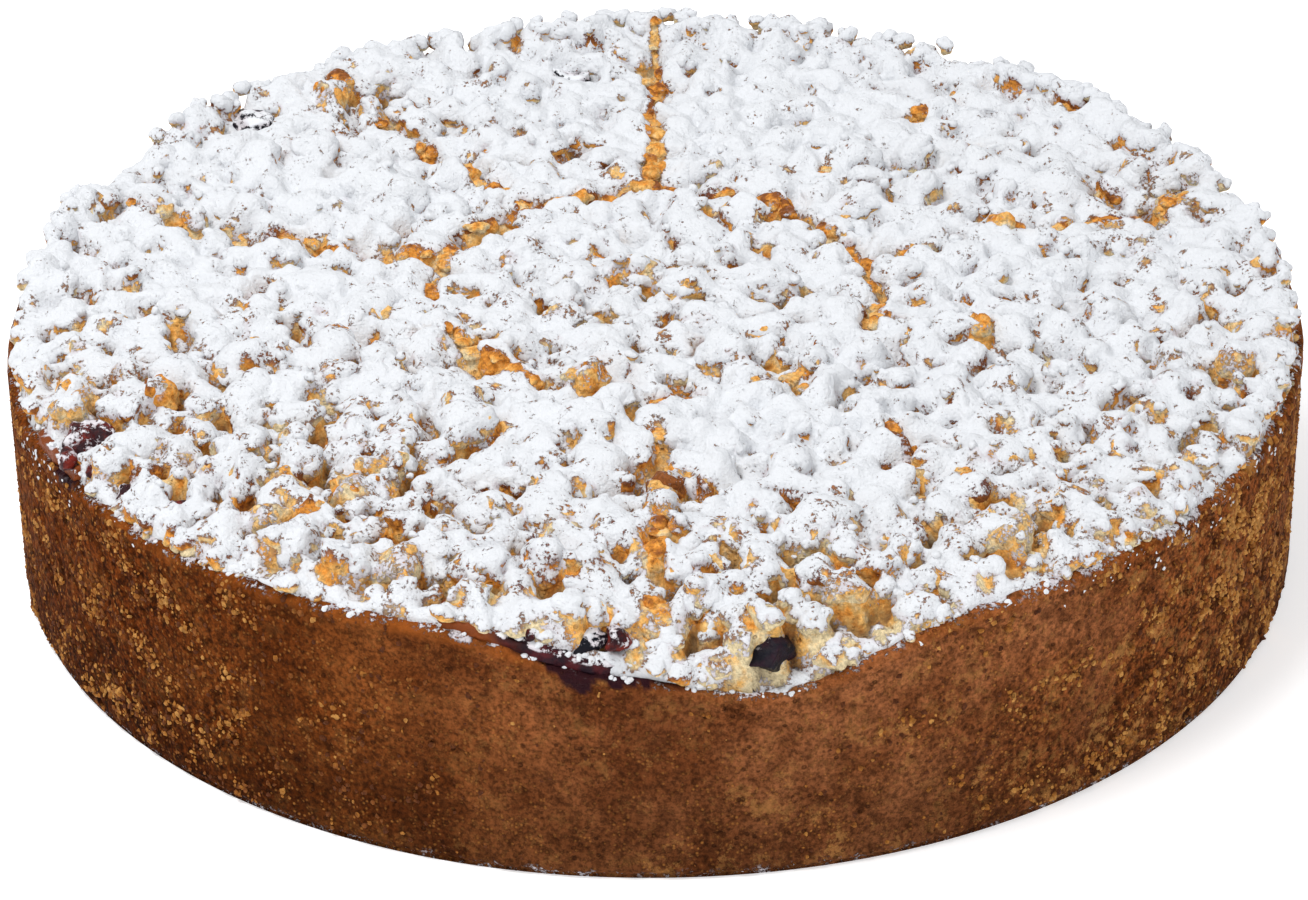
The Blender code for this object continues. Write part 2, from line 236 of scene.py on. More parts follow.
def calculate(tree, operation, first, second=0.5, third=0.5):
    return addNode(tree, "Math", {0: first, 1: second, 2: third}, operation=operation).outputs[0]


def multiply(tree, first, *others):
    for value in others:
        first = calculate(tree, "MULTIPLY", first, value)
    return first


def mixColours(tree, factor, first, second, blend="MIX"):
    node = addNode(tree, "Mix", {0: factor, 6: first, 7: second}, data_type="RGBA", blend_type=blend)
    return node.outputs[2]


def shade(tree, colour, tone):
    grey = addNode(tree, "CombineColor", {0: tone, 1: tone, 2: tone}).outputs[0]
    return mixColours(tree, 1.0, colour, grey, "MULTIPLY")


def rise(tree, value, low, high, least=0.0, most=1.0):
    inputs = {"Value": value, "From Min": low, "From Max": high, "To Min": least, "To Max": most}
    return addNode(tree, "MapRange", inputs, interpolation_type="SMOOTHSTEP").outputs[0]


def scaledNoise(tree, vector, scale, detail, rough):
    inputs = {"Vector": vector, "Scale": scale, "Detail": detail, "Roughness": rough}
    return addNode(tree, "TexNoise", inputs).outputs["Fac"]


def grainNoise(tree, vector, size, detail=2.0, rough=0.55):
    return scaledNoise(tree, vector, 1 / size, detail, rough)


def newGroup(name, inputs, outputs):
    group = bpy.data.node_groups.new(name, "ShaderNodeTree")
    for socketName, kind, value in inputs:
        socket = group.interface.new_socket(socketName, in_out="INPUT", socket_type=kind)
        if value is not None:
            socket.default_value = value
    for socketName, kind in outputs:
        group.interface.new_socket(socketName, in_out="OUTPUT", socket_type=kind)
    return group, group.nodes.new("NodeGroupInput").outputs, group.nodes.new("NodeGroupOutput").inputs


icingColours = {"thin": (0.65, 0.60, 0.63, 1), "thick": (0.765, 0.78, 0.805, 1)}


def icingGroup():  # powder that lies thick where Amount is 1 and breaks up into specks as it falls to 0
    group, given, out = newGroup(
        "icingDust",
        (("Vector", "NodeSocketVector", None), ("Amount", "NodeSocketFloat", 0.0),
         ("Speck Size", "NodeSocketFloat", 0.0006)),
        (("Mask", "NodeSocketFloat"), ("Colour", "NodeSocketColor"), ("Height", "NodeSocketFloat")))
    perSize = calculate(group, "DIVIDE", 1.0, given["Speck Size"])
    fine = scaledNoise(group, given["Vector"], perSize, 5.0, 0.72)
    broad = grainNoise(group, given["Vector"], 3.6 * mm, 2.0)
    specks = calculate(group, "MULTIPLY_ADD", calculate(group, "SUBTRACT", fine, 0.5), 3.0, given["Amount"])
    specks = calculate(group, "MULTIPLY_ADD", calculate(group, "SUBTRACT", broad, 0.5), 1.7, specks)
    mask = multiply(group, rise(group, specks, 0.32, 0.50), rise(group, given["Amount"], 0.02, 0.2))
    group.links.new(mask, out["Mask"])
    depth = rise(group, calculate(group, "MULTIPLY_ADD", fine, 0.5, given["Amount"]), 0.55, 1.05)
    group.links.new(mixColours(group, depth, icingColours["thin"], icingColours["thick"]), out["Colour"])
    powder = grainNoise(group, given["Vector"], 1.1 * mm, 5.0, 0.7)
    clots = grainNoise(group, given["Vector"], 3.0 * mm, 2.0)
    powder = calculate(group, "MULTIPLY_ADD", clots, 0.8, powder)
    group.links.new(calculate(group, "MULTIPLY_ADD", powder, 0.9, mask), out["Height"])
    return group


def crumbGroup():  # the open grain of baked dough: its height, a tone from dark to pale, and masks of its crumbs and pores, which the materials darken as painted shade
    group, given, out = newGroup(
        "bakedGrain",
        (("Vector", "NodeSocketVector", None), ("Grain Size", "NodeSocketFloat", 0.0008)),
        (("Height", "NodeSocketFloat"), ("Tone", "NodeSocketFloat"), ("Crumbs", "NodeSocketFloat"),
         ("Pores", "NodeSocketFloat")))
    perSize = calculate(group, "DIVIDE", 1.0, given["Grain Size"])
    grain = scaledNoise(group, given["Vector"], perSize, 4.0, 0.65)
    cells = addNode(group, "TexVoronoi", {"Vector": given["Vector"], "Scale": perSize, "Randomness": 1.0})
    crumbs = rise(group, cells.outputs["Distance"], 0.50, 0.18)
    choice = addNode(group, "SeparateColor", {"Color": cells.outputs["Color"]})
    crumbs = multiply(group, crumbs, rise(group, choice.outputs[0], 0.45, 0.8))
    perPore = multiply(group, perSize, 0.55)
    pores = addNode(group, "TexVoronoi", {"Vector": given["Vector"], "Scale": perPore, "Randomness": 1.0})
    poreChoice = addNode(group, "SeparateColor", {"Color": pores.outputs["Color"]})
    holes = rise(group, pores.outputs["Distance"], 0.34, 0.16)
    holes = multiply(group, holes, rise(group, poreChoice.outputs[1], 0.7, 0.95))
    height = calculate(group, "MULTIPLY_ADD", crumbs, 0.5, grain)
    height = calculate(group, "MULTIPLY_ADD", holes, -0.9, height)
    group.links.new(height, out["Height"])
    group.links.new(grain, out["Tone"])
    group.links.new(crumbs, out["Crumbs"])
    group.links.new(holes, out["Pores"])
    return group


def placeGroup(tree, group, inputs):
    return addNode(tree, "Group", inputs, node_tree=group).outputs


def newMaterial(name, roughValue, specular=0.3):
    material = bpy.data.materials.new(name)
    material.use_nodes = True
    tree = material.node_tree
    shader = tree.nodes["Principled BSDF"]
    shader.inputs["Roughness"].default_value = roughValue
    shader.inputs["Specular IOR Level"].default_value = specular
    place = tree.nodes.new("ShaderNodeTexCoord").outputs["Object"]
    return material, tree, shader, place


def readValue(tree, name):
    return addNode(tree, "Attribute", attribute_name=name).outputs["Fac"]


def addBump(tree, shader, height, distance, strength=1.0):
    bump = addNode(tree, "Bump", {"Height": height, "Distance": distance, "Strength": strength})
    tree.links.new(bump.outputs["Normal"], shader.inputs["Normal"])


icingDust = icingGroup()
bakedGrain = crumbGroup()

crumbleLook = {
    "pale": (0.80, 0.66, 0.40, 1),
    "golden": (0.89, 0.50, 0.15, 1),
    "orange": (0.78, 0.30, 0.045, 1),
    "brown": (0.27, 0.088, 0.024, 1),
    "toastedAndShaded": (0.21, 0.085, 0.070, 1),  # under the edge of the sugar: toasted crumb darkened further with painted shade of its pores
    # painted shade for crevices and gaps between the lumps
    "creviceShade": (0.060, 0.032, 0.024, 1),
}


def crumbleMaterial(name, look):
    material, tree, shader, place = newMaterial(name, 0.85, 0.15)
    grain = placeGroup(tree, bakedGrain, {"Vector": place, "Grain Size": 0.9 * mm})
    patches = calculate(tree, "SUBTRACT", grainNoise(tree, place, 2.4 * mm, 3.0, 0.55), 0.5)
    baked = calculate(tree, "MULTIPLY_ADD", patches, 1.3, readValue(tree, "baked"))
    colour = mixColours(tree, rise(tree, baked, 0.15, 0.55), look["pale"], look["golden"])
    colour = mixColours(tree, rise(tree, baked, 0.5, 0.85), colour, look["orange"])
    colour = mixColours(tree, rise(tree, baked, 0.78, 1.1), colour, look["brown"])
    colour = shade(tree, colour, rise(tree, grain["Tone"], 0.3, 0.7, 0.7, 1.25))
    # painted shade in the pores: they are darkened towards the brown colour
    colour = mixColours(tree, multiply(tree, grain["Pores"], 0.4), colour, look["brown"])
    amount = readValue(tree, "sugar")
    # where the sugar thins out, dark specks of toasted crumb and painted pore shade
    colour = mixColours(tree, rise(tree, amount, 0.22, 0.62, 0.0, 0.8), colour, look["toastedAndShaded"])
    dust = placeGroup(tree, icingDust, {"Vector": place, "Amount": amount, "Speck Size": 0.75 * mm})
    colour = mixColours(tree, dust["Mask"], colour, dust["Colour"])
    # painted shade: darker where the sunk value marks crevices and gaps
    colour = mixColours(tree, multiply(tree, readValue(tree, "sunk"), 0.85), colour, look["creviceShade"])
    tree.links.new(colour, shader.inputs["Base Color"])
    height = calculate(tree, "MULTIPLY_ADD", grain["Height"],
                       calculate(tree, "MULTIPLY_ADD", dust["Mask"], -0.7, 1.0), dust["Height"])
    addBump(tree, shader, height, 0.75 * mm, 0.9)
    return material


crustLook = {
    "dark": (0.108, 0.032, 0.010, 1),
    "light": (0.236, 0.083, 0.031, 1),
    "deep": (0.115, 0.030, 0.006, 1),  # where the crumb is open
    "crumb": (0.46, 0.18, 0.042, 1),
    "flake": (0.46, 0.215, 0.062, 1),
    # painted shade inside pores and pits
    "poreShade": (0.032, 0.010, 0.004, 1),
    "glaze": (0.36, 0.095, 0.015, 1),
    "juice": (0.020, 0.005, 0.009, 1),
    "sideShadeTint": (0.95, 0.76, 0.40, 1),  # multiplies the colour where the painted side shade makes the crust darkest
}


def crustMaterial(look):
    material, tree, shader, place = newMaterial("bakedCrustWall", 0.88, 0.03)
    grain = placeGroup(tree, bakedGrain, {"Vector": place, "Grain Size": 0.95 * mm})
    coarse = readValue(tree, "coarse")  # where the crumb is open and shows its grain
    # painted side shade: below 1 the crust is darker, above 1 lighter, by direction round the cake
    browned = readValue(tree, "browned")
    broad = grainNoise(tree, place, 26 * mm, 2.0)
    patches = grainNoise(tree, place, 5 * mm, 4.0, 0.62)
    uneven = calculate(tree, "MULTIPLY_ADD", calculate(tree, "SUBTRACT", patches, 0.5), 0.7, broad)
    colour = mixColours(tree, rise(tree, uneven, 0.25, 0.75), look["dark"], look["light"])
    colour = mixColours(tree, rise(tree, coarse, 0.4, 0.9, 0.0, 0.8), colour, look["deep"])
    height = addNode(tree, "SeparateXYZ", {"Vector": place}).outputs["Z"]
    tone = rise(tree, grain["Tone"], 0.32, 0.68, 0.5, 1.5)
    # painted shade: the wall is darker towards its foot and lighter towards the top
    footShade = rise(tree, height, 0.0, 40 * mm, 0.60, 1.07)
    colour = shade(tree, colour, multiply(tree, tone, footShade, browned))
    # where the painted side shade is deepest the colour is also tinted warmer
    sideShadeTinted = mixColours(tree, 1.0, colour, look["sideShadeTint"], "MULTIPLY")
    colour = mixColours(tree, rise(tree, browned, 1.0, 0.7), colour, sideShadeTinted)
    rugged = rise(tree, grainNoise(tree, place, 1.7 * mm, 4.0, 0.65), 0.36, 0.62, 0.35, 1.7)
    colour = mixColours(tree, rise(tree, coarse, 0.35, 0.9), colour, shade(tree, colour, rugged))
    clusters = rise(tree, grainNoise(tree, place, 9 * mm, 3.0, 0.6), 0.40, 0.62, 0.35, 1.0)
    colour = mixColours(tree, multiply(tree, grain["Crumbs"], clusters, coarse), colour, look["crumb"])
    flakes = rise(tree, grainNoise(tree, place, 6.5 * mm, 7.0, 0.8), 0.52, 0.60, 0.0, 0.8)
    flakes = multiply(tree, flakes, clusters, coarse, rise(tree, browned, 0.75, 1.0, 0.2, 1.0))
    colour = mixColours(tree, flakes, colour, look["flake"])
    # painted shade in the pores
    pores = multiply(tree, grain["Pores"], calculate(tree, "MULTIPLY_ADD", coarse, 0.5, 0.25))
    colour = mixColours(tree, pores, colour, look["poreShade"])
    colour = mixColours(tree, readValue(tree, "glaze"), colour, look["glaze"])
    juice = readValue(tree, "juice")
    colour = mixColours(tree, juice, colour, look["juice"])
    tree.links.new(rise(tree, juice, 0.2, 0.8, 0.88, 0.35), shader.inputs["Roughness"])
    # painted shade in the pits
    colour = mixColours(tree, multiply(tree, readValue(tree, "pit"), 0.6), colour, look["poreShade"])
    dust = placeGroup(tree, icingDust, {"Vector": place, "Amount": readValue(tree, "sugar"),
                                        "Speck Size": 0.8 * mm})
    colour = mixColours(tree, dust["Mask"], colour, dust["Colour"])
    tree.links.new(colour, shader.inputs["Base Color"])
    height = calculate(tree, "ADD", grain["Height"], multiply(tree, dust["Height"], dust["Mask"]))
    addBump(tree, shader, height, 0.7 * mm, 1.0)
    return material


fruitLooks = {
    "jam": {"skin": (0.014, 0.004, 0.009, 1), "flesh": (0.075, 0.008, 0.011, 1), "rough": 0.42},
    "berry": {"skin": (0.004, 0.004, 0.009, 1), "flesh": (0.020, 0.005, 0.012, 1), "rough": 0.42},
    "cherry": {"skin": (0.022, 0.004, 0.007, 1), "flesh": (0.18, 0.015, 0.007, 1), "rough": 0.34},
    "glaze": (0.20, 0.046, 0.008, 1),
}


def fruitMaterial(name, look):
    material, tree, shader, place = newMaterial(name, look["rough"], 0.14)
    patches = grainNoise(tree, place, 3.5 * mm, 3.0)
    colour = mixColours(tree, rise(tree, patches, 0.42, 0.68), look["skin"], look["flesh"])
    colour = mixColours(tree, readValue(tree, "glaze"), colour, fruitLooks["glaze"])
    dust = placeGroup(tree, icingDust, {"Vector": place, "Amount": readValue(tree, "sugar"),
                                        "Speck Size": 1.3 * mm})
    colour = mixColours(tree, dust["Mask"], colour, dust["Colour"])
    tree.links.new(colour, shader.inputs["Base Color"])
    tree.links.new(rise(tree, dust["Mask"], 0.0, 0.6, look["rough"], 0.9), shader.inputs["Roughness"])
    wrinkles = grainNoise(tree, place, 1.3 * mm, 3.0)
    addBump(tree, shader, calculate(tree, "ADD", wrinkles, dust["Height"]), 0.5 * mm, 0.7)
    return material


crumble = crumbleMaterial("sugaredCrumble", crumbleLook)
wallMaterial = crustMaterial(crustLook)
jamMaterial = fruitMaterial("fruitJuice", fruitLooks["jam"])
berryMaterial = fruitMaterial("berrySkin", fruitLooks["berry"])
cherryMaterial = fruitMaterial("cherrySkin", fruitLooks["cherry"])
print("materials made")


# The case: a wall of fine rows, dented and pitted

wall = {
    "columns": 1000,
    "rowHeight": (0.95 * mm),
    "crest": 137.4 * mm,
    "recessTop": 133.5 * mm,
    "recess": 126 * mm,
    "floor": 38 * mm,
    "dent": 0.55 * mm,
    "pit": 0.75 * mm,
    "bulge": 0.6 * mm,  # of the rough part
    # Where the crumb is open, where painted side shade makes the crust darker or lighter, and where it is
    # glazed: direction, half width, strength
    "open": ((-158, 32, 0.7), (-24, 32, 0.65), (90, 60, 0.35)),
    "light": ((-140, 38, -0.36), (-40, 22, 0.05)),
    "glazed": ((-108, 9, 0.6), (-135, 20, 0.35), (-60, 20, 0.3)),
    # Juice that ran over the rim: direction, half width, how far down
    "drips": ((-96.4, 1.7, 4.6 * mm), (-99.5, 2.2, 1.6 * mm), (-92, 4, 1.0 * mm), (-151, 3, 2.0 * mm)),
}


def pitDepth(points, size, share, shift):  # round pits of about this size, in this share of the cells
    depth = np.zeros(len(points))
    offset = Vector((shift, -shift, 2 * shift))
    for i, p in enumerate(points):
        found = noise.voronoi(Vector(p) / size + offset)
        if noise.cell(found[1][0] * 31.7) < share:
            depth[i] = found[0][0]
        else:
            depth[i] = 1.0
    return smoothStep(0.42, 0.12, depth)


def turnCase():  # a ring of edges drawn up the wall, over the rim and down into the recess
    deselectAll()
    bpy.ops.mesh.primitive_circle_add(vertices=wall["columns"], radius=cake["footRadius"], fill_type="NGON")
    piece = bpy.context.object
    piece.name = "crust_wall"
    rows = [(cake["radius"] - 1.2 * mm, 0.9 * mm), (cake["radius"] - 0.5 * mm, cake["footHeight"])]
    top = cake["rim"] - 1.6 * mm
    count = round((top - cake["footHeight"]) / wall["rowHeight"])
    for i in range(1, count + 1):
        rows.append((cake["radius"], cake["footHeight"] + (top - cake["footHeight"]) * i / count))
    rows += [(cake["radius"] - 0.5 * mm, cake["rim"] - 0.6 * mm), (wall["crest"], cake["rim"]),
             (135.5 * mm, cake["rim"] - 0.3 * mm), (wall["recessTop"], cake["rim"] - 0.9 * mm),
             (130 * mm, 46 * mm), (wall["recess"], wall["floor"])]
    bpy.ops.object.mode_set(mode="EDIT")
    bpy.ops.mesh.select_mode(type="EDGE")
    bpy.ops.mesh.select_all(action="SELECT")
    radius, height = cake["footRadius"], 0.0
    for nextRadius, nextHeight in rows:
        bpy.ops.mesh.extrude_edges_move(TRANSFORM_OT_translate={"value": (0, 0, nextHeight - height)})
        wider = nextRadius / radius
        bpy.ops.transform.resize(value=(wider, wider, 1), center_override=(0, 0, 0))
        radius, height = nextRadius, nextHeight
    bpy.ops.mesh.edge_face_add()
    bpy.ops.mesh.select_all(action="SELECT")
    bpy.ops.mesh.normals_make_consistent(inside=False)
    bpy.ops.object.mode_set(mode="OBJECT")
    return piece


def makeWall():
    piece = turnCase()
    points = readPoints(piece)
    x, y, z = points.T
    radius = np.hypot(x, y)
    share = np.clip(z / cake["rim"], 0, 1)
    outer = radius > wall["crest"] - 0.1 * mm
    lift = (rimHeight(x, y) - cake["rim"]) * share * (radius > wall["recess"] + mm)
    points[:, 2] += lift
    face = smoothStep(0.0, 0.03, share) * outer
    nearTop = smoothStep(0.9, 1.0, share) * outer
    face *= 1 - 0.7 * smoothStep(0.93, 0.99, share)
    dents = roughness(points, 14 * mm, 3.0) * 0.6 + roughness(points, 4.5 * mm, 8.0) * 0.5
    fine = roughness(points, 1.7 * mm, 5.0)
    degrees = directionOf(x, y)
    coarse = np.clip(0.4 + bells(wall["open"], degrees) + 0.25 * roughness(points, 16 * mm, 27.0), 0, 1)
    # painted side shade: darker round the left, a little lighter at the right
    browned = 1 + bells(wall["light"], degrees)
    pits = np.maximum(pitDepth(points, 3.0 * mm, 0.2, 1.0), 0.8 * pitDepth(points, 6.0 * mm, 0.07, 4.0))
    dry = bell(*cake["dryWall"], degrees)
    pits *= (0.45 + 0.55 * coarse) * (1 + 0.6 * dry)
    inward = wall["dent"] * np.clip(0.1 + dents, 0, 1) + 0.12 * mm * (1 + fine) + wall["pit"] * pits
    inward -= wall["bulge"] * dry * offAxes(x, y) * np.clip(roughness(points, 2.8 * mm, 61.0) + 0.1, 0, 1)
    ragged = 0.8 * mm * np.clip(roughness(points, 5 * mm, 11.0) + 0.1, 0, 1)
    inward += ragged * smoothStep(5 * mm, 0.0, points[:, 2])
    points[:, :2] *= (1 - inward * face / np.maximum(radius, mm))[:, None]
    bumps = 0.55 * mm * roughness(points, 3.2 * mm, 2.0) + 0.4 * mm * roughness(points, 8 * mm, 6.0)
    points[:, 2] += nearTop * bumps
    writePoints(piece, points)
    piece.data.shade_smooth()

    below = rimHeight(x, y) - points[:, 2]
    streaks = roughness(flatPoints(x, y), 7 * mm, 21.0)
    specks = roughness(points, 2.6 * mm, 23.0)
    right = np.maximum(bell(-44, 15, degrees), 0.35 * bell(-156, 12, degrees))
    scattered = (0.05 + 0.45 * np.clip(specks, 0, 1)) * right
    scattered *= smoothStep(6 * mm, 1 * mm, below + 3 * mm * streaks)
    onTop = smoothStep(1.2 * mm, -0.2 * mm, below + 0.9 * mm * streaks) * (0.3 + 0.6 * specks + 0.3 * right)
    foot = (0.1 + 0.4 * np.clip(specks, 0, 1)) * smoothStep(3.5 * mm, 0.5 * mm, points[:, 2])
    glaze = (0.15 + bells(wall["glazed"], degrees)) * np.clip(0.7 + streaks + 0.6 * specks, 0, 1)
    glaze *= smoothStep(3.6 * mm, 0.6 * mm, below + 1.2 * mm * streaks)
    juice = 0 * x
    for centre, width, depth in wall["drips"]:
        wavy = bell(centre, width, degrees + 1.2 * specks)
        run = smoothStep(depth, 0.5 * depth, below + 1.5 * mm * specks) * (below > -2 * mm)
        juice = np.maximum(juice, smoothStep(0.3, 0.6, run * wavy))
    sugar = np.maximum.reduce([scattered, onTop, foot]) * (1 - 0.8 * juice)
    addValues(piece, pit=pits * face, sugar=np.clip(sugar, 0, 1) * outer, glaze=np.clip(glaze, 0, 1),
              juice=0.96 * juice, coarse=coarse, browned=browned)
    return dress(piece, wallMaterial, "baked_crust", "crust")


crustWall = makeWall()
print("case made:", len(crustWall.data.polygons), "faces")


# Kinds of lump: grains of dough baked together

lumpKinds = {
    "big": {"kinds": 16, "grains": 11, "voxel": 0.11, "faces": 640, "chips": 5},
    "middle": {"kinds": 12, "grains": 7, "voxel": 0.16, "faces": 270, "chips": 4},
    "small": {"kinds": 10, "grains": 4, "voxel": 0.24, "faces": 84, "chips": 2},
    "grain": {"kinds": 8, "grains": 3, "voxel": 0.34, "faces": 24, "chips": 1},
}


def makeLumpKind(sort):
    deselectAll()
    balls = []
    for i in range(sort["grains"]):
        size = draw.uniform(0.24, 0.5) if i else 0.64
        away = anyDirection(draw) * draw.uniform(0.42, 0.7) if i else (0, 0, 0)
        bpy.ops.mesh.primitive_ico_sphere_add(subdivisions=2, radius=size, location=away)
        balls.append(bpy.context.object)
    choose(*balls)
    bpy.ops.object.join()
    lump = bpy.context.object
    bpy.ops.object.transform_apply(location=True, rotation=True, scale=True)
    remesh = lump.modifiers.new("fuse", "REMESH")
    remesh.mode = "VOXEL"
    remesh.voxel_size = sort["voxel"]
    applyModifiers(lump)
    points = readPoints(lump)
    for _ in range(sort["chips"]):  # a side broken off
        facing = np.array(anyDirection(draw))
        over = np.maximum(points @ facing - draw.uniform(0.55, 0.85), 0)
        points -= np.outer(0.85 * over, facing)
    shift = draw.uniform(0, 90)
    rough = 0.12 * roughness(points, 0.42, shift) + 0.09 * roughness(points, 0.19, shift)
    points *= (1 + rough)[:, None]
    writePoints(lump, points)
    thin = lump.modifiers.new("thin", "DECIMATE")
    thin.ratio = min(1.0, sort["faces"] / max(1, len(readTriangles(lump))))
    applyModifiers(lump)
    points, triangles = readPoints(lump), readTriangles(lump)
    points -= (points.max(0) + points.min(0)) / 2
    points /= np.percentile(np.linalg.norm(points, axis=1), 80)
    bpy.data.objects.remove(lump)
    return points, triangles


def anyKind(name):
    return draw.randrange(len(shapes[name]))


def pointNormals(points, triangles):
    sides = points[triangles]
    across = np.cross(sides[:, 1] - sides[:, 0], sides[:, 2] - sides[:, 0])
    total = np.zeros_like(points)
    for corner in range(3):
        np.add.at(total, triangles[:, corner], across)
    return total / np.maximum(np.linalg.norm(total, axis=1), 1e-12)[:, None]


shapes = {}
for name, sort in lumpKinds.items():
    shapes[name] = [makeLumpKind(sort) for _ in range(sort["kinds"])]
print("lump kinds made:", {name: [len(t) for _, t in made] for name, made in shapes.items()})


# Grains of crumb that stand out of the wall, thickest where it is open

wallCrumbs = {
    "count": 8100,
    "least": 0.35 * mm,  # half widths
    "most": 1.05 * mm,
    "cluster": 8 * mm,
    "from": 138 * mm,  # radius
    "proud": 0.7 * mm,  # how far they may stand out where that doesn't widen the cake's box
    "sunk": 0.35,  # share of their half width
    "look": {
        "pale": (0.54, 0.255, 0.065, 1),
        "golden": (0.37, 0.14, 0.024, 1),
        "orange": (0.23, 0.074, 0.016, 1),
        "brown": (0.10, 0.028, 0.008, 1),
        "toastedAndShaded": (0.20, 0.07, 0.02, 1),
        # painted shade for crevices
        "creviceShade": (0.04, 0.015, 0.006, 1),
    },
}


def makeWallCrumbs(spec):
    points = readPoints(crustWall)
    openness = np.empty(len(points), np.float32)
    crustWall.data.attributes["coarse"].data.foreach_get("value", openness)
    x, y, z = points.T
    radius = np.hypot(x, y)
    clusters = roughness(points, spec["cluster"], 44.0) + 0.5 * roughness(points, 3 * mm, 46.0)
    onFace = (radius > spec["from"]) & (z > 1.6 * mm) & (z < rimHeight(x, y) - 0.8 * mm)
    chance = onFace * (0.025 + smoothStep(0.35, 0.95, openness) * smoothStep(-0.25, 0.5, clusters))
    dry = bell(*cake["dryWall"], directionOf(x, y))
    chance *= 1 + 0.3 * dry
    chance *= spec["count"] * madeShare / chance.sum()
    # how browned each grain is; the rise round -150 degrees is painted side shade
    tone = 0.75 - 0.08 * dry + 0.16 * bell(-150, 32, directionOf(x, y)) - 0.7 * clusters
    tone += 0.45 * smoothStep(0.8, 0.3, openness)
    limit = cake["widest"] + spec["proud"] * offAxes(x, y)
    spots = []
    for i in np.nonzero(chance)[0]:
        if draw.random() < chance[i]:
            size = draw.uniform(spec["least"], spec["most"]) * (1 + 0.15 * dry[i])
            inner = min(radius[i] - spec["sunk"] * size, limit[i] - 1.08 * size) / radius[i]
            browned = min(1.2, max(0.05, tone[i] + draw.gauss(0, 0.3)))
            spots.append((x[i] * inner, y[i] * inner, z[i], size, 1.0, anyKind("grain"), browned, 1.0))
    laid = layLumps("grain", spots)
    piece = pieceFromArrays("wall_crumbs", laid["points"], laid["triangles"])
    piece.data.shade_smooth()
    addValues(piece, baked=laid["baked"], sugar=0 * laid["baked"], sunk=0 * laid["baked"])
    return dress(piece, crumbleMaterial("wallCrumb", spec["look"]), "baked_crust")


# Where the lumps lie: fused to each other round a level, with loose crumbs on top

heap = {
    "level": 55.6 * mm,  # of the lumps' middles inside
    "shoulder": 118 * mm,
    "edgeRadius": 137.2 * mm,
    "edgeRise": 1.2 * mm,  # of the lumps' middles over the rim
    "backRise": 2.2 * mm,
    # High and low places of the edge: direction, half width, height
    "swells": ((86, 24, 4.4 * mm), (25, 40, 1.2 * mm), (41, 8, 2.6 * mm), (135, 30, 1.2 * mm),
               (120, 6, 2.0 * mm), (142, 5, 2.4 * mm), (166, 8, 3.0 * mm), (153, 7, -6.5 * mm)),
    "bump": 1.7 * mm,
    "bumpLength": 23 * mm,
    "bed": 2.4 * mm,  # how far the bed of the lumps lies under their middles
    "reach": 139.0 * mm,
    "widest": 139.3 * mm,
    "highest": 63.9 * mm,
    "rimFrom": 132.5 * mm,  # the rim shows from here outwards
    "rimFull": 137.6 * mm,
}


def heapLevel(x, y):
    radius = np.hypot(x, y)
    share = smoothStep(heap["shoulder"], heap["edgeRadius"], radius)
    bump = heap["bump"] * roughness(flatPoints(x, y), heap["bumpLength"]).reshape(np.shape(x))
    back = smoothStep(-0.3, 0.7, y / np.maximum(radius, mm))
    swell = bells(heap["swells"], directionOf(x, y))
    edge = rimHeight(x, y) + heap["edgeRise"] + heap["backRise"] * back + swell + 1.8 * mm * spill(x, y)
    return heap["level"] + bump * (1 - 0.6 * share) + (edge - heap["level"]) * share


# How open each cut still is by its direction, and where the centre round shows: direction, half width,
# strength
cutOpen = {90: 1.0, -90: 0.74, 126: 0.46, 54: 0.34, 18: 0.72, 162: 0.7, -54: 0.25, -126: 0.3, -18: 0.22,
           -162: 0.25, roundMark: 0.22}
roundOpen = ((-4, 30, 0.5), (52, 26, 0.75), (92, 14, 0.45), (125, 24, 0.6), (165, 18, 0.55),
             (-128, 20, 0.6))

step = 1.0 * mm  # of the maps of the heap
half = 141  # cells from the middle to their edge
cells = np.arange(-half, half + 1) * step
gridX, gridY = np.meshgrid(cells, cells, indexing="ij")
gridRadius = np.hypot(gridX, gridY)


def gridNoise(size, shift):
    return roughness(flatPoints(gridX, gridY), size, shift).reshape(gridX.shape)


levelMap = heapLevel(gridX, gridY)
onRim = smoothStep(heap["rimFrom"], heap["rimFull"], gridRadius)
rimTop = rimHeight(gridX, gridY) + 3.2 * mm * spill(gridX, gridY) * (gridRadius < heap["rimFull"])
atBack = smoothStep(-0.3, 0.5, gridY / np.maximum(gridRadius, mm))
rimTop += 3.4 * mm * atBack * smoothStep(134.6 * mm, 132.6 * mm, gridRadius)
bedMap = (levelMap - heap["bed"]) * (1 - onRim) + (rimTop - 0.1 * mm) * onRim
warpX = 2.2 * mm * gridNoise(9 * mm, 71.0) + 1.4 * mm * gridNoise(3.6 * mm, 76.0)
warpY = 2.2 * mm * gridNoise(9 * mm, 73.0) + 1.4 * mm * gridNoise(3.6 * mm, 78.0)
distanceMap, directionMap = cutDistance(gridX + warpX, gridY + warpY)
openMap = np.vectorize(lambda d: cutOpen[int(round(d))])(directionMap)
openMap += bells(roundOpen, directionOf(gridX, gridY)) * (directionMap == roundMark)
wander = gridNoise(9 * mm, 40.0)
openMap = np.clip(openMap + 0.9 * wander, 0, 1)  # a cut closes up here and there
cutWidth = (1.25 + 1.3 * gridNoise(6 * mm, 75.0)) * mm
groove = smoothStep(cutWidth + 1.0 * mm, cutWidth - 0.3 * mm, distanceMap) * smoothStep(0.34, 0.56, openMap)
bedMap -= 0.8 * mm * groove
heights = bedMap.copy()


def cellOf(value):
    return int(round(value / step)) + half


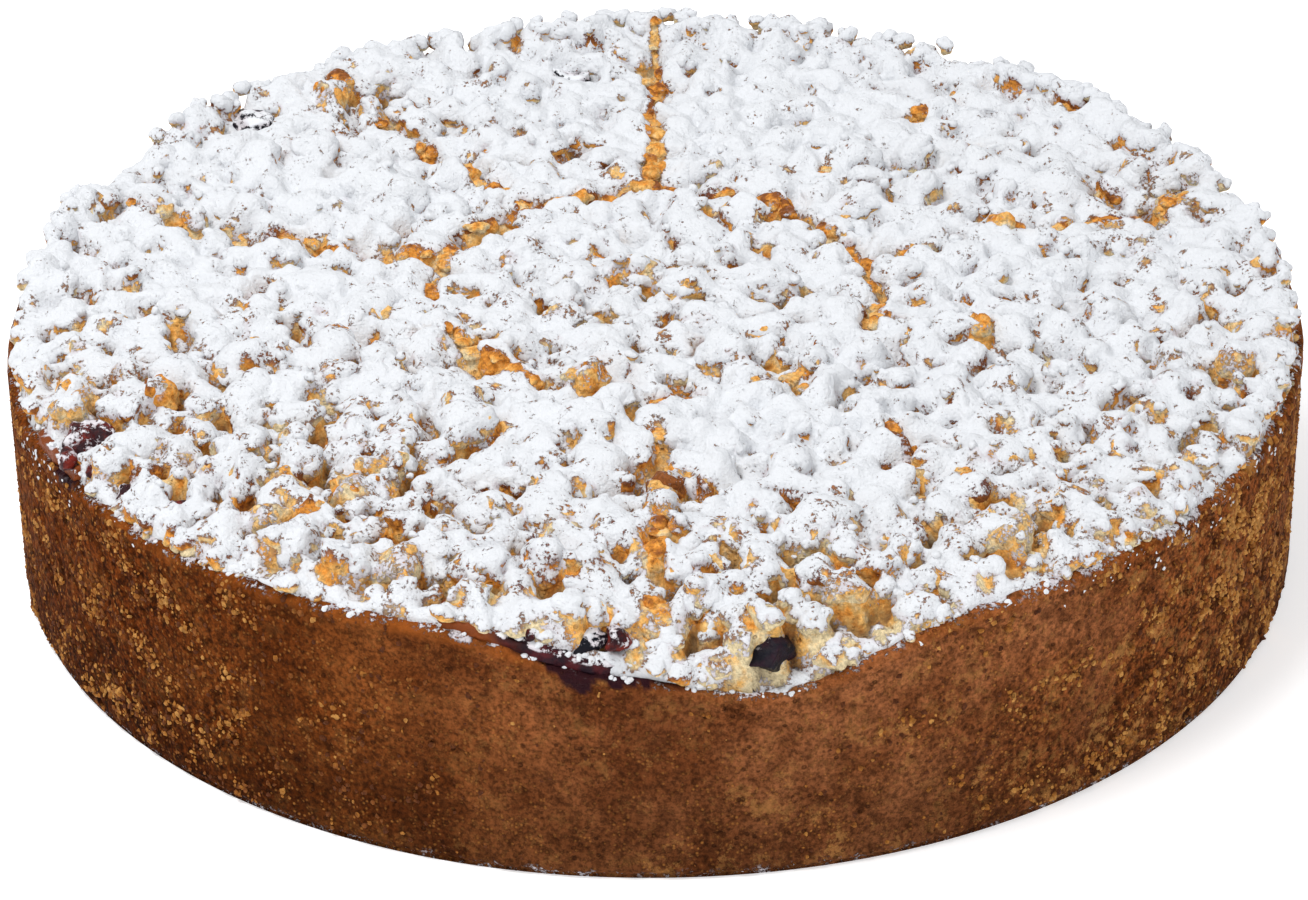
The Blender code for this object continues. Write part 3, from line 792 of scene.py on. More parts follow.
def footprint(x, y, size, flat):
    i, j = cellOf(x), cellOf(y)
    reach = max(1, int(0.8 * size / step))
    window = heights[i - reach:i + reach + 1, j - reach:j + reach + 1]
    along = np.arange(-reach, reach + 1) * step
    dx, dy = np.meshgrid(along, along, indexing="ij")
    under = size * flat * np.sqrt(np.clip(1 - (dx ** 2 + dy ** 2) / size ** 2, 0, 1))
    return window, under


def put(spots, x, y, z, size, flat, kind, baked=None, dusted=1.0):
    window, under = footprint(x, y, size, flat)
    window[:] = np.maximum(window, np.where(under > 0, z + under * 0.92, -1))
    z = min(z, heap["highest"] - 0.4 * mm - size * flat)
    spots.append((x, y, z, size, flat, kind, baked, dusted))


# Places left open, where fruit shows: place and half width in mm
bareFruit = ((22.5, -133.5, 6.4), (-14, -135, 4.2), (-117, -63, 4.8), (-93, 87, 4.0), (-20, 112, 3.6))


def free(x, y, size, others, spacing):
    if any(math.hypot(x - a * mm, y - b * mm) < c * mm + 0.6 * size for a, b, c in bareFruit):
        return False
    return not any((x - s[0]) ** 2 + (y - s[1]) ** 2 < (spacing * (size + s[3])) ** 2 for s in others)


# Lumps fused round the heap's level: half widths, how far they keep apart, how much of their half width
# stays inside the edge, and the share of their height that lifts them
scatterRules = {
    "big": {"count": 520, "tries": 24000, "least": 4.4 * mm, "most": 8.6 * mm,
            "spacing": 0.70, "edge": 0.9, "lift": 0.0},
    "middle": {"count": 430, "tries": 16000, "least": 2.2 * mm, "most": 4.0 * mm,
               "spacing": 0.66, "edge": 0.6, "lift": 0.02},
}


def scatter(spots, others, name):
    rule = scatterRules[name]
    found = 0
    for _ in range(rule["tries"]):
        if found >= int(rule["count"] * madeShare):
            break
        size = draw.uniform(rule["least"], rule["most"])
        angle = draw.uniform(-math.pi, math.pi)
        front = 0.5 - 0.5 * math.sin(angle)
        radius = math.sqrt(draw.random()) * (heap["reach"] - (rule["edge"] + 0.25 * front) * size)
        x, y = onCircle(radius, angle)
        i, j = cellOf(x), cellOf(y)
        if openMap[i, j] > 0.42 and distanceMap[i, j] < cutWidth[i, j] + 0.5 * size:
            continue
        if not free(x, y, size, others + spots, rule["spacing"]):
            continue
        atEdge = float(smoothStep(122 * mm, 135 * mm, radius))
        flat = draw.uniform(0.66, 0.9) + 0.14 * atEdge
        z = levelMap[i, j] + size * flat * (rule["lift"] + draw.uniform(-0.22, 0.22))
        z = min(z, bedMap[i, j] + 0.75 * size * flat + 1.6 * mm)
        put(spots, x, y, z, size, flat, anyKind(name))
        found += 1


def rest(spots, name, x, y, size, flat, sink, baked=None, dusted=1.0):  # on top of what lies there
    window, under = footprint(x, y, size, flat)
    z = np.where(under > 0, window + 0.6 * under, -1).max() - sink * size
    put(spots, x, y, z, size, flat, anyKind(name), baked, dusted)


# Lumps that stand out in the heap: place and half width in mm, how high their middle lies over the
# level, how browned from 0 to 1.2, and their share of sugar
standing = (
    (-76, 97, 6.4, 2.4, 0.45, 0.1), (68, 88, 4.8, 1.6, 0.62, 0.5), (26, 41, 5.0, 0.4, 0.7, 0.15),
    (-102, -47, 5.2, 2.2, 0.62, 0.12), (-119, -43, 7.0, 1.0, 0.3, 0.3),
    (68, -105, 7.0, 2.0, 0.12, 0.4), (-50, -115, 5.6, 0.8, 0.12, 0.6), (-14, -43, 5.8, 0.8, 0.5, 0.3),
    (-34, -29, 5.0, 0.8, 0.7, 0.2), (2, -85, 5.2, 1.4, 0.95, 0.2), (10, -83, 4.6, 0.8, 0.85, 0.4),
    (36, -27, 4.4, 0.6, 0.6, 0.15), (46, -71, 5.8, 0.8, 0.9, 0.6), (-61, -85, 4.8, 1.2, 0.55, 0.2),
    (117, 37, 6.2, 1.0, 0.3, 0.6), (104, 45, 5.2, 1.0, 0.85, 0.6), (-77, -97, 5.6, 1.0, 0.3, 0.4),
    (121, -35, 6.0, 1.0, 0.3, 0.5), (116, -24, 4.8, 0.8, 0.7, 0.5), (-1, -112, 4.6, 0.2, 0.5, 0.1),
    (0, -127, 5.4, -0.2, 0.3, 0.5), (-4, -66, 4.0, 0.4, 0.6, 0.25), (13, -78, 4.2, 1.6, 0.25, 0.7),
    (28, -88, 4.8, 1.2, 0.85, 0.7), (-88, 99, 4.6, 1.4, 0.9, 0.7), (-55, -83, 4.0, 0.4, 0.5, 0.2),
    (-69, -93, 4.6, 0.6, 0.62, 0.2), (16, -125.5, 5.6, 1.2, 0.1, 1.1),
    (8.5, -133, 4.2, -0.8, 0.15, 0.9), (-17, -130.2, 4.6, 4.6, 0.4, 1.3),
    (-12, -129.5, 3.8, 3.2, 0.4, 1.2), (35, -129.6, 4.0, 0, 0.15, 1.0),
    (26, -123.5, 5.0, 1.4, 0.1, 1.1), (0.5, -131.5, 4.0, 0.0, 0.3, 0.9),
    (-7, -129, 4.0, 1.0, 0.5, 0.9), (-25, -131, 4.6, 1.4, 0.2, 0.85),
    (-36, -127, 5.0, 1.0, 0.15, 0.85), (-120, -52, 5.4, 1.6, 0.15, 0.4),
    (-103, -75, 4.2, 0.6, 0.85, 0.5), (37, -121, 5.0, 1.0, 0.3, 0.5), (-110, -36, 4.6, 1.2, 0.7, 0.6),
)

# Crumbs that lean over the fruit in front: place in mm, half width, how browned, share of sugar
leaning = ((15.4, -132.6, 50.4, 4.0, 0.02, 0.7), (20.6, -129.8, 54.0, 4.0, 0.04, 0.9),
           (11.6, -133.8, 45.6, 3.6, 0.12, 0.6), (33.0, -131.4, 46.2, 3.6, 0.3, 0.8),
           (30.2, -127.0, 51.4, 4.2, 0.12, 1.1))

bigSpots, edgeSpots, middleSpots, smallSpots, cutSpots, rimSpots, clumpSpots = [], [], [], [], [], [], []
for x, y, z, size, baked, dusted in leaning:
    put(bigSpots, x * mm, y * mm, z * mm, size * mm, 0.9, anyKind("big"), baked, dusted)
for x, y, size, over, baked, dusted in standing:
    level = levelMap[cellOf(x * mm), cellOf(y * mm)] + over * mm
    put(bigSpots, x * mm, y * mm, level, size * mm, 0.88, anyKind("big"), baked, dusted)

# Loose lumps, crumbs and sugar: how many are tried, and their least and most half width in mm. The
# first of the clumps lie beside the fruit, and their radii are in mm too
loose = {
    "edge": {"tries": 1500, "sizes": (2.2, 6.2), "from": -28, "to": 203, "over": 5.2},
    "small": {"tries": 300, "sizes": (0.8, 1.7), "reach": 136 * mm},
    "rim": {"tries": 420, "sizes": (1.2, 2.8), "from": 132.5 * mm, "to": 139.2 * mm},
    "cut": {"sizes": (1.2, 3.6), "wander": 1.8 * mm, "apart": 2.6 * mm, "apartRound": 2.2 * mm},
    "clump": {"tries": 110, "first": 12, "sizes": (0.3, 1.2), "radii": (136.4, 137.9), "reach": 138.5 * mm},
    "fleck": {"tries": 150, "sizes": (0.25, 0.75), "reach": 139.7 * mm},
}


def layEdgeRow(rule):  # a close row round the back and the sides, where the heap's outline shows
    for _ in range(int(rule["tries"] * madeShare)):
        angle = math.radians(draw.uniform(rule["from"], rule["to"]))
        size = draw.uniform(*rule["sizes"]) * mm
        radius = heap["reach"] - 0.95 * size - abs(draw.gauss(0, 1.6)) * mm
        x, y = onCircle(radius, angle)
        if free(x, y, size, bigSpots + edgeSpots, 0.5) and groove[cellOf(x), cellOf(y)] < 0.3:
            flat = draw.uniform(0.7, 1.0)
            top = levelMap[cellOf(x), cellOf(y)] + (rule["over"] + draw.gauss(0, 1.1)) * mm
            put(edgeSpots, x, y, top - size * flat, size, flat, anyKind("middle"))


def laySmallLumps(rule):  # loose on top
    for _ in range(int(rule["tries"] * madeShare)):
        radius, angle = rule["reach"] * math.sqrt(draw.random()), draw.uniform(-math.pi, math.pi)
        x, y = onCircle(radius, angle)
        if groove[cellOf(x), cellOf(y)] < 0.2 and free(x, y, mm, smallSpots, 1.0):
            rest(smallSpots, "small", x, y, draw.uniform(*rule["sizes"]) * mm, draw.uniform(0.7, 1.0), 0.25)


def layRimCrumbs(rule):
    for _ in range(int(rule["tries"] * madeShare)):
        angle, size = draw.uniform(-math.pi, math.pi), draw.uniform(*rule["sizes"]) * mm
        radius = draw.uniform(rule["from"], rule["to"] - size)
        x, y = onCircle(radius, angle)
        if free(x, y, size, rimSpots, 0.6) and spill(x, y) * (radius > 134.5 * mm) < 0.3:
            i, j = cellOf(x), cellOf(y)
            z = bedMap[i, j] + size * draw.uniform(0.05, 0.4)
            put(rimSpots, x, y, z, size, draw.uniform(0.7, 0.95), anyKind("middle"),
                min(1.0, max(0.0, draw.gauss(0.3, 0.22))), draw.choice((0.6, 0.9, 1.0, 1.1)))


def layCutCrumbs(places, rule):  # broken crumbs that lie in the open cuts
    for x, y in places:
        x, y = x + draw.gauss(0, rule["wander"]), y + draw.gauss(0, rule["wander"])
        if groove[cellOf(x), cellOf(y)] > 0.4:
            size = draw.uniform(*rule["sizes"]) * mm
            rest(cutSpots, "middle", x, y, size, draw.uniform(0.45, 0.75), 0.95,
                 min(0.9, max(0.15, draw.gauss(0.48, 0.16))), 0.25)


def fillCuts(rule):
    for number in range(cake["cuts"]):
        angle = math.radians(cake["firstCut"] + 360 / cake["cuts"] * number)
        along = np.arange(cake["centreRound"], cake["cutEnd"] + 4 * mm, rule["apart"])
        layCutCrumbs([onCircle(radius, angle) for radius in along], rule)
    turns = np.arange(0, 2 * math.pi, rule["apartRound"] / cake["centreRound"])
    layCutCrumbs([onCircle(cake["centreRound"], turn) for turn in turns], rule)


def layClumps(rule):  # damp sugar along the rim, white all round
    for number in range(int(rule["tries"] * madeShare)):
        degrees = draw.choice((draw.uniform(-125, -50), draw.uniform(-50, -8), draw.uniform(-172, -125),
                               draw.uniform(-180, 180)))
        if number < rule["first"]:  # beside the fruit
            degrees = draw.choice((draw.uniform(-84, -78), draw.uniform(-98, -92),
                                   draw.uniform(-154, -146)))
        radius = draw.uniform(*rule["radii"]) * mm
        for _ in range(draw.randrange(2, 6)):
            degrees = degrees + draw.gauss(0, 0.45)
            radius = min(rule["reach"], radius + draw.gauss(0, 0.5) * mm)
            x, y = onCircle(radius, math.radians(degrees))
            size = draw.uniform(*rule["sizes"]) * mm
            z = float(rimHeight(x, y)) - 0.1 * size - draw.uniform(0.3, 1.5) * max(0.0, radius - 137.2 * mm)
            z += 2.6 * mm * float(spill(x, y)) * (radius < 137.4 * mm)
            clumpSpots.append((x, y, z, size, 0.7, anyKind("small"), 0.5, sugarAlone))


def layFlecks(rule):  # sugar that fell on the wall
    for _ in range(int(rule["tries"] * madeShare)):
        degrees = draw.choice((draw.gauss(-45, 8), draw.gauss(-37, 9), draw.gauss(-155, 6)))
        drop = abs(draw.gauss(0, 3)) * mm + mm
        size = draw.uniform(*rule["sizes"]) * mm
        x, y = onCircle(rule["reach"] - size, math.radians(degrees))
        z = float(rimHeight(x, y)) - drop
        clumpSpots.append((x, y, z, size, 0.9, anyKind("small"), 0.5, sugarAlone))


layEdgeRow(loose["edge"])
scatter(bigSpots, edgeSpots, "big")
scatter(middleSpots, bigSpots + edgeSpots, "middle")
laySmallLumps(loose["small"])
layRimCrumbs(loose["rim"])
fillCuts(loose["cut"])
layClumps(loose["clump"])
layFlecks(loose["fleck"])
print("lumps settled:", [len(s) for s in (bigSpots, edgeSpots, middleSpots, smallSpots, rimSpots, cutSpots,
                                          clumpSpots)])


def layLumps(name, spots):
    # joined copies, with their points' normals, height in the lump, browning and share of sugar
    parts = {key: [] for key in ("points", "triangles", "normals", "within", "baked", "dusted")}
    start = 0
    ready = [(p, t, pointNormals(p, t)) for p, t in shapes[name]]
    for x, y, z, size, flat, kind, baked, dusted in spots:
        p, t, n = ready[kind]
        turn = np.array(Euler([draw.uniform(-math.pi, math.pi) for _ in range(3)]).to_matrix())
        stretch = np.array([size * draw.uniform(0.84, 1.08), size * draw.uniform(0.84, 1.08), size * flat])
        placed = (p @ turn.T) * stretch
        facing = (n @ turn.T) / stretch
        if baked is None:
            baked = min(1.1, max(0.0, draw.gauss(0.52, 0.26)))
        parts["points"].append(placed + (x, y, z))
        parts["triangles"].append(t + start)
        parts["normals"].append(facing / np.maximum(np.linalg.norm(facing, axis=1), 1e-12)[:, None])
        parts["within"].append(placed[:, 2] / (size * flat))
        parts["baked"].append(np.full(len(p), baked))
        parts["dusted"].append(np.full(len(p), dusted))
        start += len(p)
    return {key: np.concatenate(value) for key, value in parts.items()}


lumpSets = {
    "crumble_lumps_big_a": layLumps("big", bigSpots[0::3]),
    "crumble_lumps_big_b": layLumps("big", bigSpots[1::3]),
    "crumble_lumps_big_c": layLumps("big", bigSpots[2::3]),
    "crumble_lumps_middle": layLumps("middle", middleSpots),
    "crumble_lumps_edge": layLumps("middle", edgeSpots),
    "rim_crumbs": layLumps("middle", rimSpots),
    "crumble_lumps_small": layLumps("small", smallSpots),
    "cut_crumbs": layLumps("middle", cutSpots),
    "sugar_clumps": layLumps("small", clumpSpots),
}


# The height of all that lies on the cake, and the icing sugar that settled on it

fineStep = 0.7 * mm
fineHalf = int(141 * mm / fineStep) + 1
fineCells = np.arange(-fineHalf, fineHalf + 1) * fineStep
fineX, fineY = np.meshgrid(fineCells, fineCells, indexing="ij")


def sample(grid, x, y, spacing=fineStep, middle=fineHalf):
    i = np.clip(x / spacing + middle, 0, grid.shape[0] - 1.001)
    j = np.clip(y / spacing + middle, 0, grid.shape[1] - 1.001)
    a, b = i.astype(int), j.astype(int)
    u, v = i - a, j - b
    return ((1 - u) * (1 - v) * grid[a, b] + u * (1 - v) * grid[a + 1, b]
            + (1 - u) * v * grid[a, b + 1] + u * v * grid[a + 1, b + 1])


def fromHeap(grid, x, y):  # from the coarser maps
    return sample(grid, x, y, step, half)


def blurred(grid, width):
    cellsWide = width / fineStep
    reach = int(3 * cellsWide) + 1
    weights = np.exp(-0.5 * (np.arange(-reach, reach + 1) / cellsWide) ** 2)
    weights /= weights.sum()
    for axis in (0, 1):
        padded = np.pad(grid, [(reach, reach) if a == axis else (0, 0) for a in (0, 1)], mode="edge")
        cellsHere = np.arange(grid.shape[axis])
        grid = sum(w * np.take(padded, cellsHere + k, axis) for k, w in enumerate(weights))
    return grid


fineGroove = fromHeap(groove, fineX, fineY)
fineFloor = fromHeap(bedMap, fineX, fineY)
surface = fineFloor.copy()
for laid in lumpSets.values():
    corners = laid["points"][laid["triangles"]]
    for a, b in ((0, 0), (1, 0), (0, 1), (0.33, 0.33), (0.5, 0.5), (0.5, 0), (0, 0.5)):
        spot = corners[:, 0] * (1 - a - b) + corners[:, 1] * a + corners[:, 2] * b
        i = np.clip(np.round(spot[:, 0] / fineStep).astype(int) + fineHalf, 0, 2 * fineHalf)
        j = np.clip(np.round(spot[:, 1] / fineStep).astype(int) + fineHalf, 0, 2 * fineHalf)
        np.maximum.at(surface, (i, j), spot[:, 2])

# Thick drifts and thin places: place and half width in mm, strength
drifts = ((26, -61, 28, 0.6), (-20, 118, 30, 0.5), (-95, 20, 26, 0.25), (60, 20, 34, 0.25),
          (-30, -60, 20, 0.2), (85, -30, 28, 0.22), (30, 90, 30, 0.3), (-60, 45, 26, 0.15),
          (100, 0, 22, 0.05), (-62, -85, 26, -0.28), (105, 40, 18, -0.25), (0, -8, 30, -0.1),
          (-105, -55, 22, -0.2), (70, -95, 22, -0.3), (-60, 95, 24, -0.2), (20, -112, 26, -0.22),
          (-38, -112, 24, -0.15))


def sugarDepth(x, y):  # from 0, a light dusting, to 1, a thick drift
    amount = 0.6 + 0.25 * smoothStep(-50 * mm, 70 * mm, y)
    for middleX, middleY, width, strength in drifts:
        far = (x - middleX * mm) ** 2 + (y - middleY * mm) ** 2
        amount = amount + strength * np.exp(-(far / (width * mm) ** 2))
    return amount


# The sheet of sugar: its thickness, how far it lies under the crumb where that is bare, how far it
# evens out what it lies on, its edge, and how far it lies under the rim beyond that edge
icing = {"thickness": 0.75 * mm, "hidden": 2.5 * mm, "soft": 0.8 * mm, "wide": 1.8 * mm, "edge": 137.0 * mm,
         "under": 1.3 * mm}
fineDepth = np.clip(sugarDepth(fineX, fineY) + 0.35 * fromHeap(wander, fineX, fineY), 0, 1.1)
soft = blurred(surface, icing["soft"])
lowest = blurred(surface, icing["wide"])
sunken = blurred(surface, 2.6 * mm) - blurred(surface, 0.5 * mm)
gap = smoothStep(0.5 * mm, 1.7 * mm, sunken)  # narrow and deep
slopeX, slopeY = np.gradient(soft, fineStep)
slope = np.hypot(slopeX, slopeY)
patchy = fromHeap(gridNoise(4.2 * mm, 61.0), fineX, fineY)
steepFrom = 0.85 + 0.75 * fineDepth + 1.1 * patchy
bare = smoothStep(steepFrom, steepFrom + 0.5, slope)
fineRadius = np.hypot(fineX, fineY)
bare *= 1 - 0.5 * smoothStep(131 * mm, 136 * mm, fineRadius)
bare = np.maximum(bare, smoothStep(0.1, 0.6, fineGroove))
gap *= smoothStep(0.75, 0.3, fineDepth + 0.5 * patchy) * smoothStep(136 * mm, 132 * mm, fineRadius)
evened = 0.3 - 0.1 * fineDepth
fill = (1 - evened) * soft + evened * lowest + icing["thickness"] * (0.2 + 1.6 * fineDepth)
fill -= icing["hidden"] * np.maximum(bare, gap)
bareRound = blurred(np.maximum(bare, 0.8 * gap), 1.5 * mm)
ragged = 0.5 * mm * patchy + 0.5 * mm * fromHeap(wander, fineX, fineY)
rimMap = rimHeight(fineX, fineY)
tall = smoothStep(2.5 * mm, 6 * mm, fromHeap(levelMap, fineX, fineY) - rimMap)  # the heap over the rim
sheetEdge = icing["edge"] - 3.2 * mm * tall + ragged * (1 + tall)
overEdge = smoothStep(sheetEdge - 0.5 * mm, sheetEdge + 0.6 * mm, fineRadius)
fill = fill * (1 - overEdge) + (rimMap - icing["under"]) * overEdge
fineFloor = fineFloor * (1 - overEdge) + (rimMap - icing["under"]) * overEdge
print("height map made")


def coverage(laid):
    x, y, z = laid["points"].T
    depth = sample(fineDepth, x, y)
    seen = smoothStep(-1.8 * mm, -0.5 * mm, z - sample(surface, x, y))
    patch = sample(patchy, x, y)
    limit = 0.42 - 0.38 * depth - 0.6 * patch - 0.25 * (laid["dusted"] - 0.6)
    tilt = laid["normals"][:, 2] + 0.25 * roughness(laid["points"], 1.6 * mm, 17.0)
    amount = seen * smoothStep(limit - 0.5, limit + 0.4, tilt) * (0.62 + 0.55 * depth)
    amount *= (1 - 0.8 * fromHeap(groove, x, y)) * np.minimum(laid["dusted"], 1)
    return np.clip(np.where(laid["dusted"] == sugarAlone, 1.0, amount), 0, 1)


def makeLumps(name, laid):
    sugar = coverage(laid)
    points = laid["points"]
    x, y, z = points.T
    crumb = laid["dusted"] != sugarAlone
    # painted shade: points that lie deep under the surface round them get the crevice colour
    sunk = smoothStep(1.2 * mm, 4.0 * mm, sample(lowest, x, y) - z) * crumb
    thickness = 0.45 * mm * smoothStep(0.5, 0.95, sugar) * crumb
    grown = points + laid["normals"] * (0.3 * thickness)[:, None]
    grown[:, 2] = np.minimum(grown[:, 2] + 0.6 * thickness, heap["highest"])
    radius = np.hypot(grown[:, 0], grown[:, 1])
    grown[:, :2] *= np.minimum(1, heap["widest"] / np.maximum(radius, mm))[:, None]
    piece = pieceFromArrays(name, grown, laid["triangles"])
    piece.data.shade_smooth()
    addValues(piece, sugar=sugar, baked=np.clip(laid["baked"] + 0.42 * laid["within"], 0, 1.25), sunk=sunk)
    return piece


lumpPieces = []
for name, laid in lumpSets.items():
    piece = makeLumps(name, laid)
    lumpPieces.append(dress(piece, crumble, "sugared_crumble"))
print("lumps made:", [len(p.data.polygons) for p in lumpPieces], "faces")


# The core under them, whose top is the icing sugar that lies over the lumps and between them

core = {
    "spacing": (0.62 * mm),
    "faces": 188000,
    "radius": 137.9 * mm,
    "underside": 40 * mm,
    "undersideRadius": 130 * mm,
}


def makeDisc():  # a fine grid cut round, with a flat underside
    deselectAll()
    count = int(2 * core["radius"] / core["spacing"])
    bpy.ops.mesh.primitive_grid_add(x_subdivisions=count, y_subdivisions=count, size=2 * core["radius"])
    piece = bpy.context.object
    piece.name = "crumble_core"
    points = readPoints(piece)
    far = np.hypot(points[:, 0], points[:, 1]) > core["radius"]
    bpy.ops.object.mode_set(mode="EDIT")
    bpy.ops.mesh.select_mode(type="VERT")
    bpy.ops.mesh.select_all(action="DESELECT")
    bpy.ops.object.mode_set(mode="OBJECT")
    piece.data.vertices.foreach_set("select", far)
    bpy.ops.object.mode_set(mode="EDIT")
    bpy.ops.mesh.delete(type="VERT")
    bpy.ops.mesh.select_all(action="SELECT")
    bpy.ops.mesh.region_to_loop()
    bpy.ops.mesh.extrude_edges_move(TRANSFORM_OT_translate={"value": (0, 0, -0.01)})
    bpy.ops.mesh.edge_face_add()
    bpy.ops.mesh.select_all(action="SELECT")
    bpy.ops.mesh.normals_make_consistent(inside=False)
    bpy.ops.object.mode_set(mode="OBJECT")
    return piece


def makeCore():
    piece = makeDisc()
    points = readPoints(piece)
    x, y, z = points.T
    low = z < -0.005
    floor, sheet = sample(fineFloor, x, y), sample(fill, x, y)
    inside = 1 - sample(overEdge, x, y)
    clumps = 1.3 * mm * (np.abs(roughness(points, 3.2 * mm, 33.0)) - 0.25)
    clumps += 0.2 * mm * roughness(points, 1.5 * mm, 31.0)
    crumbs = 0.75 * mm * roughness(points, 3.4 * mm, 35.0) + 0.25 * mm * roughness(points, 1.2 * mm, 37.0)
    grooveHere = fromHeap(groove, x, y)
    atFront = bell(*cake["brokenFront"], directionOf(x, y)) * (np.hypot(x, y) > 131 * mm)
    broken = np.maximum(grooveHere, atFront)
    points[:, 2] = np.maximum(floor, sheet) + (clumps * (1 - broken) + crumbs * broken) * inside
    points[:, 2] = np.minimum(points[:, 2], heap["highest"])
    points[low, 2] = core["underside"]
    points[low, :2] *= core["undersideRadius"] / core["radius"]
    writePoints(piece, points)
    thin = piece.modifiers.new("thin", "DECIMATE")
    thin.ratio = min(1.0, core["faces"] / len(readTriangles(piece)))
    applyModifiers(piece)
    piece.data.shade_smooth()

    points = readPoints(piece)
    x, y, z = points.T
    inside = 1 - sample(overEdge, x, y)
    grooveHere = fromHeap(groove, x, y)
    depth, bareHere = sample(fineDepth, x, y), sample(bare, x, y)
    thinly = roughness(points, 5 * mm, 51.0)
    steep = smoothStep(0.25, 1.2, sample(slope, x, y))
    creases = smoothStep(0.14, 0.0, np.abs(roughness(points, 3.2 * mm, 33.0)))
    sugar = 0.79 + 0.42 * depth - 0.45 * creases * np.clip(0.9 + thinly - 0.7 * depth, 0, 1)
    sugar -= steep * np.clip(0.4 + 0.9 * thinly - 0.35 * depth, 0, 1)
    sugar -= 0.4 * bareHere
    sugar -= 0.6 * sample(bareRound, x, y) * (1.1 - 0.6 * depth)
    sugar -= 0.6 * np.clip(thinly + 0.25 - 0.6 * depth, 0, 1) + 0.3 * sample(gap, x, y)
    sugar *= 1 - 0.97 * grooveHere
    sugar *= 1 - 0.9 * sample(tall, x, y) * smoothStep(0.1, 0.4, 1 - inside)
    front = bell(*cake["brokenFront"], directionOf(x, y))
    front *= smoothStep(130 * mm, 134.5 * mm, np.hypot(x, y))
    sugar -= front * np.clip(0.2 + 0.7 * thinly, 0, 1)
    # painted shade in crevices and narrow gaps, kept off where the sugar is thick; it goes out as the sunk
    # value
    deep = smoothStep(1.2 * mm, 3.4 * mm, sample(lowest, x, y) - z) * inside * (1 - 0.8 * grooveHere)
    deep = np.maximum(deep, 0.95 * sample(gap, x, y) * (1 - grooveHere)) * smoothStep(0.9, 0.5, sugar)
    baked = 0.42 + 0.4 * roughness(points, 5 * mm, 9.0) + 0.25 * bareHere * (1 - grooveHere) - 0.25 * front
    addValues(piece, sugar=np.clip(sugar, 0, 1), baked=baked, sunk=deep)
    return dress(piece, crumble, "sugared_crumble", "crumble_topping")


crumbleCore = makeCore()
print("core made:", len(crumbleCore.data.polygons), "faces")
crumbsOnWall = makeWallCrumbs(wallCrumbs)
print("crumbs on the wall:", len(crumbsOnWall.data.polygons), "faces")


# Fruit: a layer that has boiled over the rim, and berries baked into its edge

berries = {
    "berry_front_left": {"material": berryMaterial, "sugar": 0.7, "seed": 2},
    "berry_front_right": {"material": berryMaterial, "sugar": 0.2, "seed": 16, "cut": (-0.45, -0.62, 0.64)},
    "berry_left": {"material": cherryMaterial, "sugar": 0.55, "seed": 3},
    "berry_back_left": {"material": berryMaterial, "sugar": 0.75, "seed": 4},
    "berry_back": {"material": berryMaterial, "sugar": 0.85, "seed": 5},
}


def makeBerry(node, look):  # baked and shrunken, with flat and folded sides
    low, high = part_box(node)
    middle = (low + high) / 2
    deselectAll()
    bpy.ops.mesh.primitive_ico_sphere_add(subdivisions=5, radius=1.0, location=(0, 0, 0))
    piece = bpy.context.object
    piece.name = node + "_skin"
    points = readPoints(piece)
    ownDraw = random.Random(look["seed"])
    seed = ownDraw.uniform(0, 90)
    for _ in range(9):
        facing = np.array(anyDirection(ownDraw))
        points -= np.outer(0.85 * np.maximum(points @ facing - ownDraw.uniform(0.6, 0.88), 0), facing)
    if "cut" in look:
        facing = np.array(Vector(look["cut"]).normalized())
        points -= np.outer(np.maximum(points @ facing - 0.6, 0), facing)
    folds = 0.18 * roughness(points, 0.6, seed) - 0.16 * np.abs(roughness(points, 0.42, seed + 5))
    points *= (0.98 + folds)[:, None]
    top = points[:, 2]
    points = points * np.array((high - low) / 2) + np.array(middle)
    writePoints(piece, points)
    piece.data.shade_smooth()
    sugar = smoothStep(0.0, 0.9, top + 0.5 * roughness(points, 3 * mm, seed)) * look["sugar"]
    addValues(piece, sugar=np.clip(sugar, 0, 1))
    return dress(piece, look["material"], "berry_skin", node)


for node, look in berries.items():
    makeBerry(node, look)

# Bits of red fruit among the crumble: place and half width in mm, how high over the level
fruitBits = ((-106, -81, 3.0, 0.6), (-95, -88.5, 2.8, 0.8), (-7, -134, 3.6, 2.6), (-119, -69.5, 3.0, 0.8),
             (-113, -73, 2.6, 0.6), (-24.5, -133.5, 2.4, 0.4))


def makeFruitBits():
    spots = []
    for x, y, size, over in fruitBits:
        level = levelMap[cellOf(x * mm), cellOf(y * mm)] + over * mm
        spots.append((x * mm, y * mm, level, size * mm, 0.7, anyKind("middle"), 0.5, 0.5))
    laid = layLumps("middle", spots)
    piece = pieceFromArrays("fruit_bits", laid["points"], laid["triangles"])
    piece.data.shade_smooth()
    patch = roughness(laid["points"], 2.5 * mm, 91.0)
    addValues(piece, sugar=np.clip(0.1 + 0.35 * laid["within"] + 0.6 * patch, 0, 0.8))
    return dress(piece, cherryMaterial, "dark_fruit")


makeFruitBits()


